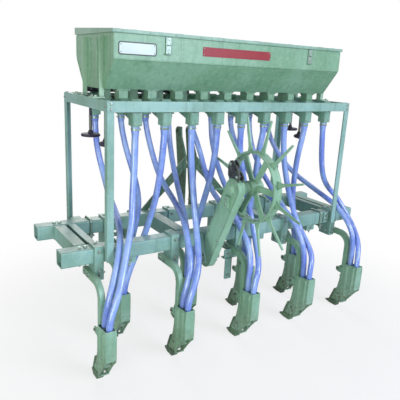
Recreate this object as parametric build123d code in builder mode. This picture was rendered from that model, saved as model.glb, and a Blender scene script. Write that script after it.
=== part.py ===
from build123d import *
import math
import os

os.makedirs("parts", exist_ok=True)

# Seed drill with nine tynes on two toolbars, a seed and fertilizer hopper on a
# raised frame, and a spiked ground wheel on a swinging arm. Millimetres, +Y is
# the way it is pulled, +X is to its right, Z is up from the ground that the
# tyne points stand on. The origin is under the middle of the whole outline.

# Toolbars and tyne rows
row_spacing = 203.0
bar_length = 1903.0
bar_size = 75.0
bar_wall = 6.0
bar_corner = 8.0
bar_gap = 400.0
bar_bottom = 542.0
bar_top = bar_bottom + bar_size
rear_tyne_columns = [-4, -2, 0, 2, 4]
front_tyne_columns = [-3, -1, 1, 3]

# Tynes, measured from the front edge of the upright leg
leg_thick = 25.0
leg_deep = 32.0
leg_behind_rear_bar = 145.0
row_stagger = 300.0
rear_arm_drop = 40.0
front_arm_drop = 95.0
arm_nose = 12.0
leg_bend_inside = 55.0
leg_curve_top = 235.0
toe_ahead = 54.0
toe_high = 34.0
point_seat_ahead = 20.0
point_seat_high = 105.0
point_thick = 11.0
point_ahead = 100.0
point_width = 34.0
point_tip_width = 12.0

# Boots behind the legs
boot_width = 50.0
boot_wall = 3.0
boot_deep = 98.0
boot_front_top = 305.0
boot_rear_top = 314.0
boot_front_bottom = 60.0
boot_step_bottom = 108.0
boot_rear_bottom = 163.0

# Clamps on the toolbars, each beside its tyne arm on the side of the drill's middle
clamp_width = 44.0
clamp_plate = 10.0
block_width = 62.0
block_deep = 46.0
block_high = 34.0
block_columns = [-3, 1, 3]

# Raised frame
frame_margin = 56.5
rail_high = 47.0
rail_thick = 20.0
rail_top = 1291.0
post_leg = 32.0
post_wall = 5.0
post_foot_above_bar = 14.0
rear_cleat_deep = 13.0
front_cleat_deep = 41.0
cleat_width = 60.0

# Hopper
hopper_length = 1392.0
hopper_forward = 25.0
hopper_top_width = 480.0
hopper_floor_width = 278.0
hopper_above_rail = 42.0
hopper_slope_high = 133.0
hopper_band_high = 121.0
sheet = 4.0

# Lid
lid_gap = 0.3
lid_sheet = 3.0
lid_clear = 5.0
lid_skirt = 15.0
lid_rise = 19.0
lid_overhang = 4.0
hinge_ahead = 14.0
hinge_below_rim = 7.0
hinge_spots = [-450.0, 0.0, 450.0]
barrel_radius = 7.0
barrel_half = 15.0
knuckle_long = 14.0
knuckle_space = 1.0
hinge_pin_radius = 3.0
running = 0.05

# Feed cups under the hopper
cup_count = 9
cup_end_margin = 95.2
cup_wide = 46.0
cup_deep = 48.0
cup_below_rail = 64.0
cup_crown = 8.0
throat_deep = 50.0
throat_below_rail_top = 21.0
throat_inset = 9.0
chute_top = 22.0
chute_fall = 5.0
chute_lip = 12.0
chute_heel = 28.0
feed_shaft_radius = 10.0
feed_shaft_below_rail_top = 23.0
spout_radius = 17.0
spout_long = 22.0

# Seed and fertilizer tubes
tube_radius = 16.0
tube_bend = 300.0
bend_share = 0.47
least_turn = 0.001
tube_in_boot = 22.0

# Ground wheel, its arm and chain case
pivot_behind_bar = 40.5
pivot_below_bar = 52.0
arm_length = 459.0
arm_lean = 25.8
case_half = 52.0
case_thick = 36.0
case_left = -208.0
arm_thick = 14.0
arm_wide = 56.0
arm_from_case = 1.0
wheel_centre_x = -80.0
rim_outside = 175.0
rim_thick = 8.0
rim_width = 46.0
spike_reach = 340.0
spike_count = 12
spike_phase = 15.0
spike_root = 20.0
spike_tip = 8.0
spike_thick = 8.0
hub_radius = 34.0
hub_half = 34.0
axle_radius = 15.0
axle_proud = 12.0
spoke_count = 6
spoke_wide = 30.0
spoke_thick = 10.0
pivot_pin_radius = 12.0
cheek_thick = 10.0
cheek_clear = 3.0
cheek_half = 24.0
cheek_below_bar_top = 8.0
cheek_shoulder = 22.0
pivot_pin_proud = 8.0

# Three-point hitch
lower_pin_radius = 14.0
lower_pin_spread = 825.0
lower_pin_below_bar = 87.0
lower_pin_long = 125.0
pin_root_radius = 11.0
pin_collar_radius = 20.0
pin_collar_thick = 6.0
pin_head_radius = 22.0
pin_head_thick = 8.0
link_ahead = 100.0
mast_height = 610.0
mast_inside = 60.0
mast_plate = 12.0
mast_deep = 60.0
mast_eye = 30.0
mast_bend_below_link = 145.0
mast_neck_below_link = 30.0
mast_bar_below_link = 205.0
mast_bar_radius = 15.0
mast_throat = 8.0
top_link_radius = 12.75
brace_foot = 292.0
brace_wide = 40.0
brace_thick = 10.0
brace_top_high = 80.0
brace_cover = 56.0
hitch_plate = 16.0
hitch_nose = 30.0
hitch_shoulder = 30.0

# Places worked out from the sizes above
lean = math.radians(arm_lean)
phase = math.radians(spike_phase)
rear_reach = (
    bar_gap / 2
    + bar_size / 2
    + pivot_behind_bar
    + arm_length * math.sin(lean)
    + spike_reach * math.cos(phase)
    + spike_tip / 2 * math.sin(phase)
)
front_reach = bar_gap / 2 + bar_size / 2 + link_ahead + hitch_nose
mid_y = (rear_reach - front_reach) / 2
rear_bar_y = mid_y - bar_gap / 2
front_bar_y = mid_y + bar_gap / 2
rear_bar_back = rear_bar_y - bar_size / 2
front_bar_face = front_bar_y + bar_size / 2
frame_back = rear_bar_back - rear_cleat_deep - post_leg
frame_front = front_bar_face + front_cleat_deep + post_leg
frame_length = hopper_length + 2 * frame_margin
frame_half_x = frame_length / 2
post_foot = bar_bottom + post_foot_above_bar
hopper_y = mid_y + hopper_forward
pivot_y = rear_bar_back - pivot_behind_bar
pivot_z = bar_bottom - pivot_below_bar
hub_y = pivot_y - arm_length * math.sin(lean)
hub_z = pivot_z + arm_length * math.cos(lean)
rear_leg_y = rear_bar_y - leg_behind_rear_bar
front_leg_y = rear_leg_y + row_stagger
link_y = front_bar_face + link_ahead
lower_pin_z = bar_bottom - lower_pin_below_bar
top_link_z = lower_pin_z + mast_height
rail_bottom = rail_top - rail_high
hopper_floor = rail_top + hopper_above_rail
hopper_knee = hopper_floor + hopper_slope_high
hopper_rim = hopper_knee + hopper_band_high
cup_bottom = rail_bottom - cup_below_rail
cup_pitch = (hopper_length - 2 * cup_end_margin) / (cup_count - 1)
cup_xs = [(i - (cup_count - 1) / 2) * cup_pitch for i in range(cup_count)]


# Toolbars: square tubes across the machine
with BuildPart() as rear_bar:
    with BuildSketch(Plane.YZ.offset(-bar_length / 2)):
        with Locations((rear_bar_y, bar_bottom + bar_size / 2)):
            RectangleRounded(bar_size, bar_size, bar_corner)
            Rectangle(bar_size - 2 * bar_wall, bar_size - 2 * bar_wall, mode=Mode.SUBTRACT)
    extrude(amount=bar_length)
rear_bar.part.label = "rear_toolbar"
export_step(rear_bar.part, "parts/rear_toolbar.step")

with BuildPart() as front_bar:
    with BuildSketch(Plane.YZ.offset(-bar_length / 2)):
        with Locations((front_bar_y, bar_bottom + bar_size / 2)):
            RectangleRounded(bar_size, bar_size, bar_corner)
            Rectangle(bar_size - 2 * bar_wall, bar_size - 2 * bar_wall, mode=Mode.SUBTRACT)
    extrude(amount=bar_length)
front_bar.part.label = "front_toolbar"
export_step(front_bar.part, "parts/front_toolbar.step")

# Fore-and-aft members between the toolbars: how far the outer edge of each is
# from the toolbar's end, and its width
side_bars = [(83.5, 55.0), (156.5, 35.0)]
tie_long = bar_gap - bar_size
with BuildPart() as side_members:
    for inset, wide in side_bars:
        for side in (1, -1):
            centre = side * (bar_length / 2 - inset - wide / 2)
            with Locations((centre, mid_y, bar_bottom + bar_size / 2)):
                Box(wide, tie_long, bar_size)
side_members.part.label = "side_members"
export_step(side_members.part, "parts/side_members.step")

centre_member_x = 290.0
centre_member_wide = 60.0
with BuildPart() as centre_members:
    for side in (1, -1):
        with Locations((side * centre_member_x, mid_y, bar_bottom + bar_size / 2)):
            Box(centre_member_wide, tie_long, bar_size)
centre_members.part.label = "centre_members"
export_step(centre_members.part, "parts/centre_members.step")

# Raised frame: long rails at front and rear, short rails at the ends
with BuildPart() as long_rails:
    for rail_y in (frame_back + rail_thick / 2, frame_front - rail_thick / 2):
        with Locations((0, rail_y, rail_top - rail_high / 2)):
            Box(frame_length, rail_thick, rail_high)
long_rails.part.label = "long_rails"
export_step(long_rails.part, "parts/long_rails.step")

with BuildPart() as end_rails:
    for side in (1, -1):
        rail_x = side * (frame_half_x - rail_thick / 2)
        with Locations((rail_x, (frame_back + frame_front) / 2, rail_top - rail_high / 2)):
            Box(rail_thick, frame_front - frame_back - 2 * rail_thick, rail_high)
end_rails.part.label = "end_rails"
export_step(end_rails.part, "parts/end_rails.step")

# Posts: four angle irons with a cleat at the foot, bolted to the toolbars
post_high = rail_bottom - post_foot
post_rows = [(1, frame_front, front_cleat_deep), (-1, frame_back, rear_cleat_deep)]
with BuildPart() as posts:
    for side_x in (1, -1):
        for side_y, corner_y, cleat_deep in post_rows:
            corner_x = side_x * frame_half_x
            cleat_y = corner_y - side_y * (post_leg + cleat_deep / 2)
            with BuildSketch(Plane.XY.offset(post_foot)):
                with Locations((corner_x - side_x * post_leg / 2, corner_y - side_y * post_wall / 2)):
                    Rectangle(post_leg, post_wall)
                with Locations((corner_x - side_x * post_wall / 2, corner_y - side_y * post_leg / 2)):
                    Rectangle(post_wall, post_leg)
            extrude(amount=post_high)
            with Locations((corner_x - side_x * cleat_width / 2, cleat_y, post_foot)):
                Box(cleat_width, cleat_deep, cleat_width, align=(Align.CENTER, Align.CENTER, Align.MIN))
posts.part.label = "posts"
export_step(posts.part, "parts/posts.step")

# Hopper: one folded sheet with a floor, open at the top
half_top = hopper_top_width / 2
half_floor = hopper_floor_width / 2
with BuildPart() as hopper:
    with BuildSketch(Plane.YZ.offset(-hopper_length / 2)):
        with BuildLine():
            Polyline(
                (hopper_y - half_floor, hopper_floor),
                (hopper_y + half_floor, hopper_floor),
                (hopper_y + half_top, hopper_knee),
                (hopper_y + half_top, hopper_rim),
                (hopper_y - half_top, hopper_rim),
                (hopper_y - half_top, hopper_knee),
                close=True,
            )
        make_face()
    extrude(amount=hopper_length)
    with BuildSketch(Plane.YZ.offset(-hopper_length / 2 + sheet)):
        with BuildLine():
            Polyline(
                (hopper_y - half_floor + sheet / 2, hopper_floor + sheet),
                (hopper_y + half_floor - sheet / 2, hopper_floor + sheet),
                (hopper_y + half_top - sheet, hopper_knee + sheet / 2),
                (hopper_y + half_top - sheet, hopper_rim + sheet),
                (hopper_y - half_top + sheet, hopper_rim + sheet),
                (hopper_y - half_top + sheet, hopper_knee + sheet / 2),
                close=True,
            )
        make_face()
    extrude(amount=hopper_length - 2 * sheet, mode=Mode.SUBTRACT)
hopper.part.label = "hopper"
export_step(hopper.part, "parts/hopper.step")

# Divider between the seed and the fertilizer side
divider_drop = 30.0
with BuildPart() as divider:
    with Locations((0, hopper_y, hopper_floor + sheet)):
        Box(
            hopper_length - 2 * sheet,
            sheet,
            hopper_rim - hopper_floor - sheet - divider_drop,
            align=(Align.CENTER, Align.CENTER, Align.MIN),
        )
divider.part.label = "hopper_divider"
export_step(divider.part, "parts/hopper_divider.step")

# Stands: angle irons up the hopper's end walls, each with a foot on the end rail
stand_leg = 35.0
stand_flange = 22.0
stand_wall = 5.0
stand_below_rim = 25.0
stand_spread = 110.0
foot_long = 60.0
foot_thick = 6.0
end_gap = frame_half_x - hopper_length / 2
with BuildPart() as stands:
    for side in (1, -1):
        wall_x = side * hopper_length / 2
        for spot in (-stand_spread, stand_spread):
            flange_y = hopper_y + spot - (stand_leg - stand_wall) / 2
            with BuildSketch(Plane.XY.offset(rail_top)):
                with Locations((wall_x + side * stand_wall / 2, hopper_y + spot)):
                    Rectangle(stand_wall, stand_leg)
                with Locations((wall_x + side * stand_flange / 2, flange_y)):
                    Rectangle(stand_flange, stand_wall)
            extrude(amount=hopper_rim - stand_below_rim - rail_top)
            with Locations((wall_x + side * end_gap / 2, hopper_y + spot, rail_top + foot_thick / 2)):
                Box(end_gap, foot_long, foot_thick)
stands.part.label = "hopper_stands"
export_step(stands.part, "parts/hopper_stands.step")

# Lid: a tray that closes the hopper, hinged along its front edge and higher there
lid_bottom = hopper_rim + lid_gap
lid_half_x = hopper_length / 2 + lid_clear + lid_sheet
lid_back = hopper_y - half_top - lid_clear - lid_sheet
lid_front = hopper_y + half_top + lid_overhang
lid_back_top = lid_bottom + lid_sheet
lid_front_top = lid_back_top + lid_rise
lid_edge = lid_back_top - lid_skirt
with BuildPart() as lid:
    with BuildSketch(Plane.YZ.offset(-lid_half_x)):
        with BuildLine():
            Polyline(
                (lid_back, lid_edge),
                (lid_back, lid_back_top),
                (lid_front, lid_front_top),
                (lid_front, lid_edge),
                close=True,
            )
        make_face()
    extrude(amount=2 * lid_half_x)
    with BuildSketch(Plane.YZ.offset(-lid_half_x + lid_sheet)):
        with BuildLine():
            Polyline(
                (lid_back + lid_sheet, lid_edge),
                (lid_back + lid_sheet, lid_bottom),
                (lid_front - lid_sheet, lid_front_top - lid_sheet),
                (lid_front - lid_sheet, lid_bottom),
                (lid_front, lid_bottom),
                (lid_front, lid_edge),
                close=True,
            )
        make_face()
    extrude(amount=2 * (lid_half_x - lid_sheet), mode=Mode.SUBTRACT)
lid.part.label = "lid"
export_step(lid.part, "parts/lid.step")

# Lid hinges: barrels on the hopper, knuckles on the lid and a pin through both
hinge_y = hopper_y + half_top + hinge_ahead
hinge_z = hopper_rim - hinge_below_rim
with BuildPart() as hinge_barrels:
    for spot in hinge_spots:
        with BuildSketch(Plane.YZ.offset(spot - barrel_half)):
            with Locations((hinge_y, hinge_z)):
                Circle(barrel_radius)
            with Locations((hinge_y - hinge_ahead / 2, hinge_z - barrel_radius / 2)):
                Rectangle(hinge_ahead, barrel_radius)
            with Locations((hinge_y, hinge_z)):
                Circle(hinge_pin_radius + running, mode=Mode.SUBTRACT)
        extrude(amount=2 * barrel_half)
hinge_barrels.part.label = "hinge_barrels"
export_step(hinge_barrels.part, "parts/hinge_barrels.step")

knuckle_start = barrel_half + knuckle_space
with BuildPart() as hinge_knuckles:
    for spot in hinge_spots:
        for start in (spot + knuckle_start, spot - knuckle_start - knuckle_long):
            with BuildSketch(Plane.YZ.offset(start)):
                with Locations((hinge_y, hinge_z)):
                    Circle(barrel_radius)
                with Locations(((lid_front + hinge_y) / 2, (hinge_z + lid_back_top) / 2)):
                    Rectangle(hinge_y - lid_front, lid_back_top - hinge_z)
                with Locations((hinge_y, hinge_z)):
                    Circle(hinge_pin_radius + running, mode=Mode.SUBTRACT)
            extrude(amount=knuckle_long)
hinge_knuckles.part.label = "hinge_knuckles"
export_step(hinge_knuckles.part, "parts/hinge_knuckles.step")

with BuildPart() as hinge_pins:
    for spot in hinge_spots:
        with BuildSketch(Plane.YZ.offset(spot - knuckle_start - knuckle_long)):
            with Locations((hinge_y, hinge_z)):
                Circle(hinge_pin_radius)
        extrude(amount=2 * (knuckle_start + knuckle_long))
hinge_pins.part.label = "hinge_pins"
export_step(hinge_pins.part, "parts/hinge_pins.step")

# Hasps on the rear wall that hold the lid down
hasp_spots = [-433.0, 456.0]
hasp_wide = 26.0
hasp_high = 74.0
hasp_thick = 7.0
hasp_drop = 16.0
with BuildPart() as hasps:
    for spot in hasp_spots:
        with Locations((spot, hopper_y - half_top - hasp_thick / 2, hopper_rim - hasp_drop)):
            Box(hasp_wide, hasp_thick, hasp_high, align=(Align.CENTER, Align.CENTER, Align.MAX))
hasps.part.label = "hasps"
export_step(hasps.part, "parts/hasps.step")

# Feed cups: throat, roller housing and spout for each outlet, seed side at the
# rear and fertilizer side at the front
cup_top = rail_top + cup_crown
throat_bottom = rail_top - throat_below_rail_top
feed_shaft_z = rail_top - feed_shaft_below_rail_top
sides = [("seed", -1, frame_back), ("fertilizer", 1, frame_front)]
for side_name, side, rail_face in sides:
    throat_out = hopper_y + side * (half_floor - throat_inset)
    throat_in = throat_out - side * throat_deep
    cup_out = rail_face - side * rail_thick
    cup_in = cup_out - side * cup_deep
    cup_y = cup_out - side * cup_deep / 2

    with BuildPart() as throats:
        for cup_x in cup_xs:
            with Locations((cup_x, (throat_out + throat_in) / 2, throat_bottom)):
                Box(
                    cup_wide,
                    throat_deep,
                    hopper_floor - throat_bottom,
                    align=(Align.CENTER, Align.CENTER, Align.MIN),
                )
    throats.part.label = side_name + "_throats"
    export_step(throats.part, "parts/" + side_name + "_throats.step")

    with BuildPart() as cups:
        for cup_x in cup_xs:
            with BuildSketch(Plane.YZ.offset(cup_x - cup_wide / 2)):
                with Locations((cup_y, (cup_bottom + cup_top - cup_deep / 2) / 2)):
                    Rectangle(cup_deep, cup_top - cup_deep / 2 - cup_bottom)
                with Locations((cup_y, cup_top - cup_deep / 2)):
                    Circle(cup_deep / 2)
                with BuildLine():
                    Polyline(
                        (cup_in, throat_bottom - chute_fall),
                        (throat_out, throat_bottom + chute_top),
                        (throat_out, throat_bottom),
                        (throat_in, throat_bottom),
                        (throat_in, throat_bottom - chute_lip),
                        (cup_in, cup_bottom + chute_heel),
                        close=True,
                    )
                make_face()
                with Locations((cup_y, feed_shaft_z)):
                    Circle(feed_shaft_radius + running, mode=Mode.SUBTRACT)
            extrude(amount=cup_wide)
            with BuildSketch(Plane.XY.offset(cup_bottom)):
                with Locations((cup_x, cup_y)):
                    Circle(spout_radius)
            extrude(amount=-spout_long)
    cups.part.label = side_name + "_cups"
    export_step(cups.part, "parts/" + side_name + "_cups.step")

    with BuildPart() as feed_shaft:
        with BuildSketch(Plane.YZ.offset(-frame_half_x + rail_thick)):
            with Locations((cup_y, feed_shaft_z)):
                Circle(feed_shaft_radius)
        extrude(amount=frame_length - 2 * rail_thick)
    feed_shaft.part.label = side_name + "_feed_shaft"
    export_step(feed_shaft.part, "parts/" + side_name + "_feed_shaft.step")

# Rate adjusters under the frame's ends: how far each is from the end rail, how far
# ahead of the middle, how long its rod is, and its handwheel's radius and thickness
adjuster_rod_radius = 7.0
adjuster_strap = 10.0
adjuster_table = [
    (52.5, 120.0, 146.0, 45.0, 14.0),
    (84.5, 0.0, 172.0, 24.0, 22.0),
]
with BuildPart() as adjusters:
    for side in (1, -1):
        for inboard, ahead, rod_long, wheel_radius, wheel_thick in adjuster_table:
            rod_x = side * (frame_half_x - rail_thick - inboard)
            rod_y = mid_y + ahead
            with BuildSketch(Plane.XY.offset(rail_bottom - rod_long)):
                with Locations((rod_x, rod_y)):
                    Circle(adjuster_rod_radius)
            extrude(amount=rod_long)
            with BuildSketch(Plane.XY.offset(rail_bottom - rod_long - wheel_thick)):
                with Locations((rod_x, rod_y)):
                    Circle(wheel_radius)
            extrude(amount=wheel_thick)
            strap_long = inboard + adjuster_rod_radius
            strap_x = side * (frame_half_x - rail_thick - strap_long / 2)
            with Locations((strap_x, rod_y, rail_bottom + adjuster_strap / 2)):
                Box(strap_long, 2 * adjuster_rod_radius, adjuster_strap)
adjusters.part.label = "rate_adjusters"
export_step(adjusters.part, "parts/rate_adjusters.step")

# Tynes: a bent leg that curves forward at its foot, a narrow point on its toe, a
# two-channel boot behind it and a clamp beside its arm
rows = [
    ("rear", rear_tyne_columns, rear_leg_y, rear_bar_y, rear_arm_drop),
    ("front", front_tyne_columns, front_leg_y, front_bar_y, front_arm_drop),
]
leg_bend_outside = leg_bend_inside + leg_deep
heel_high = boot_front_bottom
curve_mid_ahead = 5.0
curve_mid_high = (leg_curve_top + point_seat_high) / 2
tip_high = 6.0
shoe_heel = 4.0
shoe_thin = 16.0
for row_name, columns, leg_y, bar_y, arm_drop in rows:
    tyne_xs = [column * row_spacing for column in columns]
    leg_back = leg_y - leg_deep
    arm_top = bar_bottom - arm_drop
    arm_bottom = arm_top - leg_deep
    arm_front = bar_y + bar_size / 2 + arm_nose

    with BuildPart() as legs:
        for tyne_x in tyne_xs:
            with BuildSketch(Plane.YZ.offset(tyne_x - leg_thick / 2)) as leg_profile:
                with BuildLine():
                    Polyline(
                        (leg_y, leg_curve_top),
                        (leg_y, arm_bottom),
                        (arm_front, arm_bottom),
                        (arm_front, arm_top),
                        (leg_back, arm_top),
                        (leg_back, heel_high),
                        (leg_y, toe_high),
                        (leg_y + toe_ahead, toe_high),
                        (leg_y + point_seat_ahead, point_seat_high),
                    )
                    ThreePointArc(
                        (leg_y + point_seat_ahead, point_seat_high),
                        (leg_y + curve_mid_ahead, curve_mid_high),
                        (leg_y, leg_curve_top),
                    )
                make_face()
                bends = [(leg_y, arm_bottom, leg_bend_inside), (leg_back, arm_top, leg_bend_outside)]
                for across, up, radius in bends:
                    corner = leg_profile.vertices().sort_by_distance((across, up))[0]
                    fillet(corner, radius)
            extrude(amount=leg_thick)
    legs.part.label = row_name + "_legs"
    export_step(legs.part, "parts/" + row_name + "_legs.step")

    with BuildPart() as points:
        for tyne_x in tyne_xs:
            with BuildSketch(Plane.YZ.offset(tyne_x - point_width / 2)):
                with BuildLine():
                    Polyline(
                        (leg_y + shoe_heel, 0),
                        (leg_y + point_ahead, 0),
                        (leg_y + point_ahead, tip_high),
                        (leg_y + toe_ahead + point_thick, toe_high - point_thick),
                        (leg_y + point_seat_ahead + point_thick, point_seat_high + tip_high),
                        (leg_y + point_seat_ahead, point_seat_high),
                        (leg_y + toe_ahead, toe_high),
                        (leg_y, toe_high),
                        close=True,
                    )
                make_face()
            extrude(amount=point_width)
        with BuildSketch(Plane.XY):
            for tyne_x in tyne_xs:
                with BuildLine():
                    Polyline(
                        (tyne_x - point_width / 2, leg_y),
                        (tyne_x + point_width / 2, leg_y),
                        (tyne_x + point_width / 2, leg_y + toe_ahead),
                        (tyne_x + point_tip_width / 2, leg_y + point_ahead),
                        (tyne_x - point_tip_width / 2, leg_y + point_ahead),
                        (tyne_x - point_width / 2, leg_y + toe_ahead),
                        close=True,
                    )
                make_face()
        extrude(amount=point_seat_high + tip_high, mode=Mode.INTERSECT)
    points.part.label = row_name + "_points"
    export_step(points.part, "parts/" + row_name + "_points.step")

    channel = (boot_deep - 3 * boot_wall) / 2
    boot_back = leg_back - boot_deep
    step_y = leg_back - boot_wall - channel - boot_wall / 2
    with BuildPart() as boots:
        for tyne_x in tyne_xs:
            with BuildSketch(Plane.YZ.offset(tyne_x - boot_width / 2)):
                with BuildLine():
                    Polyline(
                        (leg_back, boot_front_top),
                        (boot_back, boot_rear_top),
                        (boot_back, boot_rear_bottom),
                        (step_y, boot_rear_bottom),
                        (step_y, boot_step_bottom),
                        (leg_back, boot_front_bottom),
                        close=True,
                    )
                make_face()
            extrude(amount=boot_width)
            for number in (0, 1):
                channel_y = leg_back - boot_wall - channel / 2 - number * (channel + boot_wall)
                with Locations((tyne_x, channel_y, boot_rear_top / 2)):
                    Box(
                        boot_width - 2 * boot_wall,
                        channel,
                        2 * boot_rear_top,
                        mode=Mode.SUBTRACT,
                    )
    boots.part.label = row_name + "_boots"
    export_step(boots.part, "parts/" + row_name + "_boots.step")

    clamp_bottom = arm_bottom - clamp_plate
    with BuildPart() as clamps:
        for tyne_x in tyne_xs:
            inner_side = -1 if tyne_x > 0 else 1
            with BuildSketch(Plane.YZ.offset(tyne_x + inner_side * leg_thick / 2)):
                with Locations((bar_y - clamp_plate / 2, (bar_top + clamp_plate + clamp_bottom) / 2)):
                    Rectangle(bar_size + clamp_plate, bar_top + clamp_plate - clamp_bottom)
                with Locations((bar_y, bar_bottom + bar_size / 2)):
                    Rectangle(bar_size, bar_size, mode=Mode.SUBTRACT)
            extrude(amount=inner_side * clamp_width)
    clamps.part.label = row_name + "_clamps"
    export_step(clamps.part, "parts/" + row_name + "_clamps.step")

# Blocks bolted under the rear toolbar, where more tynes can be fitted
with BuildPart() as blocks:
    for column in block_columns:
        with Locations((column * row_spacing, rear_bar_y, bar_bottom - block_high / 2)):
            Box(block_width, block_deep, block_high)
blocks.part.label = "spare_clamp_blocks"
export_step(blocks.part, "parts/spare_clamp_blocks.step")

# Tubes from the cups to the boots. Each row is a point of a tube's route: how far
# down it is, how far across to the tyne and how far back to its channel, as parts
# of the whole way, and how far it bows to the right there in millimetres
channel_step = channel + boot_wall
tube_marks = {
    ("seed", -4): [
        (0.24, 0.02, 0.01, 0.0),
        (0.37, 0.06, 0.04, 0.0),
        (0.49, 0.13, 0.18, 0.0),
        (0.63, 0.42, 0.54, 0.0),
        (0.79, 0.74, 0.93, 0.0),
    ],
    ("seed", -3): [
        (0.12, 0.02, 0.04, 0.0),
        (0.25, 0.02, 0.26, 0.0),
        (0.41, 0.04, 0.68, 0.0),
        (0.52, 0.11, 1.02, 0.0),
        (0.64, 0.25, 1.25, 0.0),
        (0.79, 0.69, 1.13, 0.0),
    ],
    ("seed", -2): [
        (0.13, 0.00, 0.00, 2.0),
        (0.27, 0.00, 0.01, 14.0),
        (0.43, 0.00, 0.06, 27.0),
        (0.58, 0.00, 0.26, 22.0),
        (0.73, 0.22, 0.80, 0.0),
        (0.84, 0.68, 0.97, 0.0),
    ],
    ("seed", -1): [
        (0.14, 0.00, 0.08, 2.0),
        (0.32, 0.00, 0.50, 4.0),
        (0.46, 0.00, 1.06, 4.0),
        (0.60, 0.30, 1.28, 0.0),
        (0.78, 0.85, 1.18, 0.0),
    ],
    ("seed", 0): [
        (0.14, 0.00, 0.00, 2.0),
        (0.32, 0.00, 0.02, 40.0),
        (0.45, 0.00, 0.06, 72.0),
        (0.58, 0.00, 0.18, 94.0),
        (0.69, 0.00, 0.42, 86.0),
        (0.81, 0.00, 0.93, 40.0),
    ],
    ("seed", 1): [
        (0.14, 0.00, 0.12, -9.0),
        (0.26, 0.09, 0.40, 0.0),
        (0.38, 0.45, 0.76, 0.0),
        (0.48, 0.70, 1.08, 0.0),
        (0.60, 0.80, 1.27, 0.0),
        (0.78, 0.95, 1.20, 0.0),
    ],
    ("seed", 2): [
        (0.13, 0.06, 0.00, 0.0),
        (0.26, 0.24, 0.02, 0.0),
        (0.43, 0.65, 0.06, 0.0),
        (0.62, 1.00, 0.19, 18.0),
        (0.71, 1.00, 0.42, 36.0),
        (0.81, 1.00, 0.92, 26.0),
    ],
    ("seed", 3): [
        (0.16, 0.00, 0.17, -8.0),
        (0.27, 0.02, 0.42, 0.0),
        (0.43, 0.25, 0.90, 0.0),
        (0.57, 0.50, 1.24, 0.0),
        (0.71, 0.79, 1.24, 0.0),
        (0.84, 0.96, 1.08, 0.0),
    ],
    ("seed", 4): [
        (0.20, 0.07, 0.00, 0.0),
        (0.34, 0.30, -0.10, 0.0),
        (0.44, 0.66, -0.20, 0.0),
        (0.53, 1.00, -0.14, 22.0),
        (0.64, 1.00, 0.16, 56.0),
        (0.73, 1.00, 0.48, 64.0),
        (0.82, 1.00, 0.82, 40.0),
    ],
    ("fertilizer", -4): [
        (0.18, 0.00, 0.05, -2.0),
        (0.33, 0.00, 0.12, 15.0),
        (0.44, 0.00, 0.27, 7.0),
        (0.50, 0.09, 0.50, 0.0),
        (0.53, 0.27, 0.70, 0.0),
        (0.60, 0.44, 0.84, 0.0),
        (0.70, 0.66, 0.93, 0.0),
        (0.81, 0.88, 1.00, 0.0),
    ],
    ("fertilizer", -3): [
        (0.20, 0.00, 0.10, 17.0),
        (0.36, 0.00, 0.27, 42.0),
        (0.50, 0.00, 0.52, 30.0),
        (0.61, 0.20, 0.75, 0.0),
        (0.72, 0.62, 0.94, 0.0),
        (0.82, 0.92, 1.00, 0.0),
    ],
    ("fertilizer", -2): [
        (0.19, 0.00, 0.05, 19.0),
        (0.34, 0.00, 0.14, 37.0),
        (0.42, 0.00, 0.26, 45.0),
        (0.48, 0.00, 0.45, 36.0),
        (0.53, 0.00, 0.65, 10.0),
        (0.57, 0.12, 0.76, 0.0),
        (0.64, 0.32, 0.86, 0.0),
        (0.74, 0.52, 0.97, 0.0),
        (0.84, 0.80, 1.00, 0.0),
    ],
    ("fertilizer", -1): [
        (0.18, 0.00, 0.07, 0.0),
        (0.35, 0.10, 0.27, 0.0),
        (0.50, 0.30, 0.54, 0.0),
        (0.61, 0.55, 0.76, 0.0),
        (0.72, 0.82, 0.94, 0.0),
        (0.83, 0.98, 0.99, 0.0),
    ],
    ("fertilizer", 0): [
        (0.21, 0.00, 0.09, 36.0),
        (0.34, 0.00, 0.17, 44.0),
        (0.45, 0.00, 0.31, 34.0),
        (0.51, 0.00, 0.50, 15.0),
        (0.53, 0.00, 0.70, 2.0),
        (0.60, 0.00, 0.83, 4.0),
        (0.69, 0.00, 0.95, 8.0),
        (0.79, 0.00, 1.00, 6.0),
    ],
    ("fertilizer", 1): [
        (0.18, 0.00, 0.07, 0.0),
        (0.35, 0.12, 0.27, 0.0),
        (0.50, 0.36, 0.54, 0.0),
        (0.61, 0.62, 0.76, 0.0),
        (0.72, 0.86, 0.94, 0.0),
        (0.83, 0.98, 0.99, 0.0),
    ],
    ("fertilizer", 2): [
        (0.12, 0.05, 0.03, 0.0),
        (0.27, 0.28, 0.14, 0.0),
        (0.43, 0.47, 0.33, 0.0),
        (0.50, 0.48, 0.56, 0.0),
        (0.54, 0.58, 0.72, 0.0),
        (0.60, 0.70, 0.84, 0.0),
        (0.69, 0.76, 0.95, 0.0),
        (0.79, 0.88, 1.00, 0.0),
    ],
    ("fertilizer", 3): [
        (0.18, 0.02, 0.07, 0.0),
        (0.35, 0.16, 0.27, 0.0),
        (0.50, 0.40, 0.54, 0.0),
        (0.61, 0.62, 0.76, 0.0),
        (0.72, 0.86, 0.94, 0.0),
        (0.83, 0.98, 0.99, 0.0),
    ],
    ("fertilizer", 4): [
        (0.14, 0.05, 0.04, 0.0),
        (0.26, 0.23, 0.11, 0.0),
        (0.40, 0.54, 0.24, 0.0),
        (0.50, 0.85, 0.47, 0.0),
        (0.54, 0.84, 0.66, 0.0),
        (0.58, 0.88, 0.79, 0.0),
        (0.67, 0.93, 0.93, 0.0),
        (0.77, 0.97, 1.00, 0.0),
    ],
}


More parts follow.
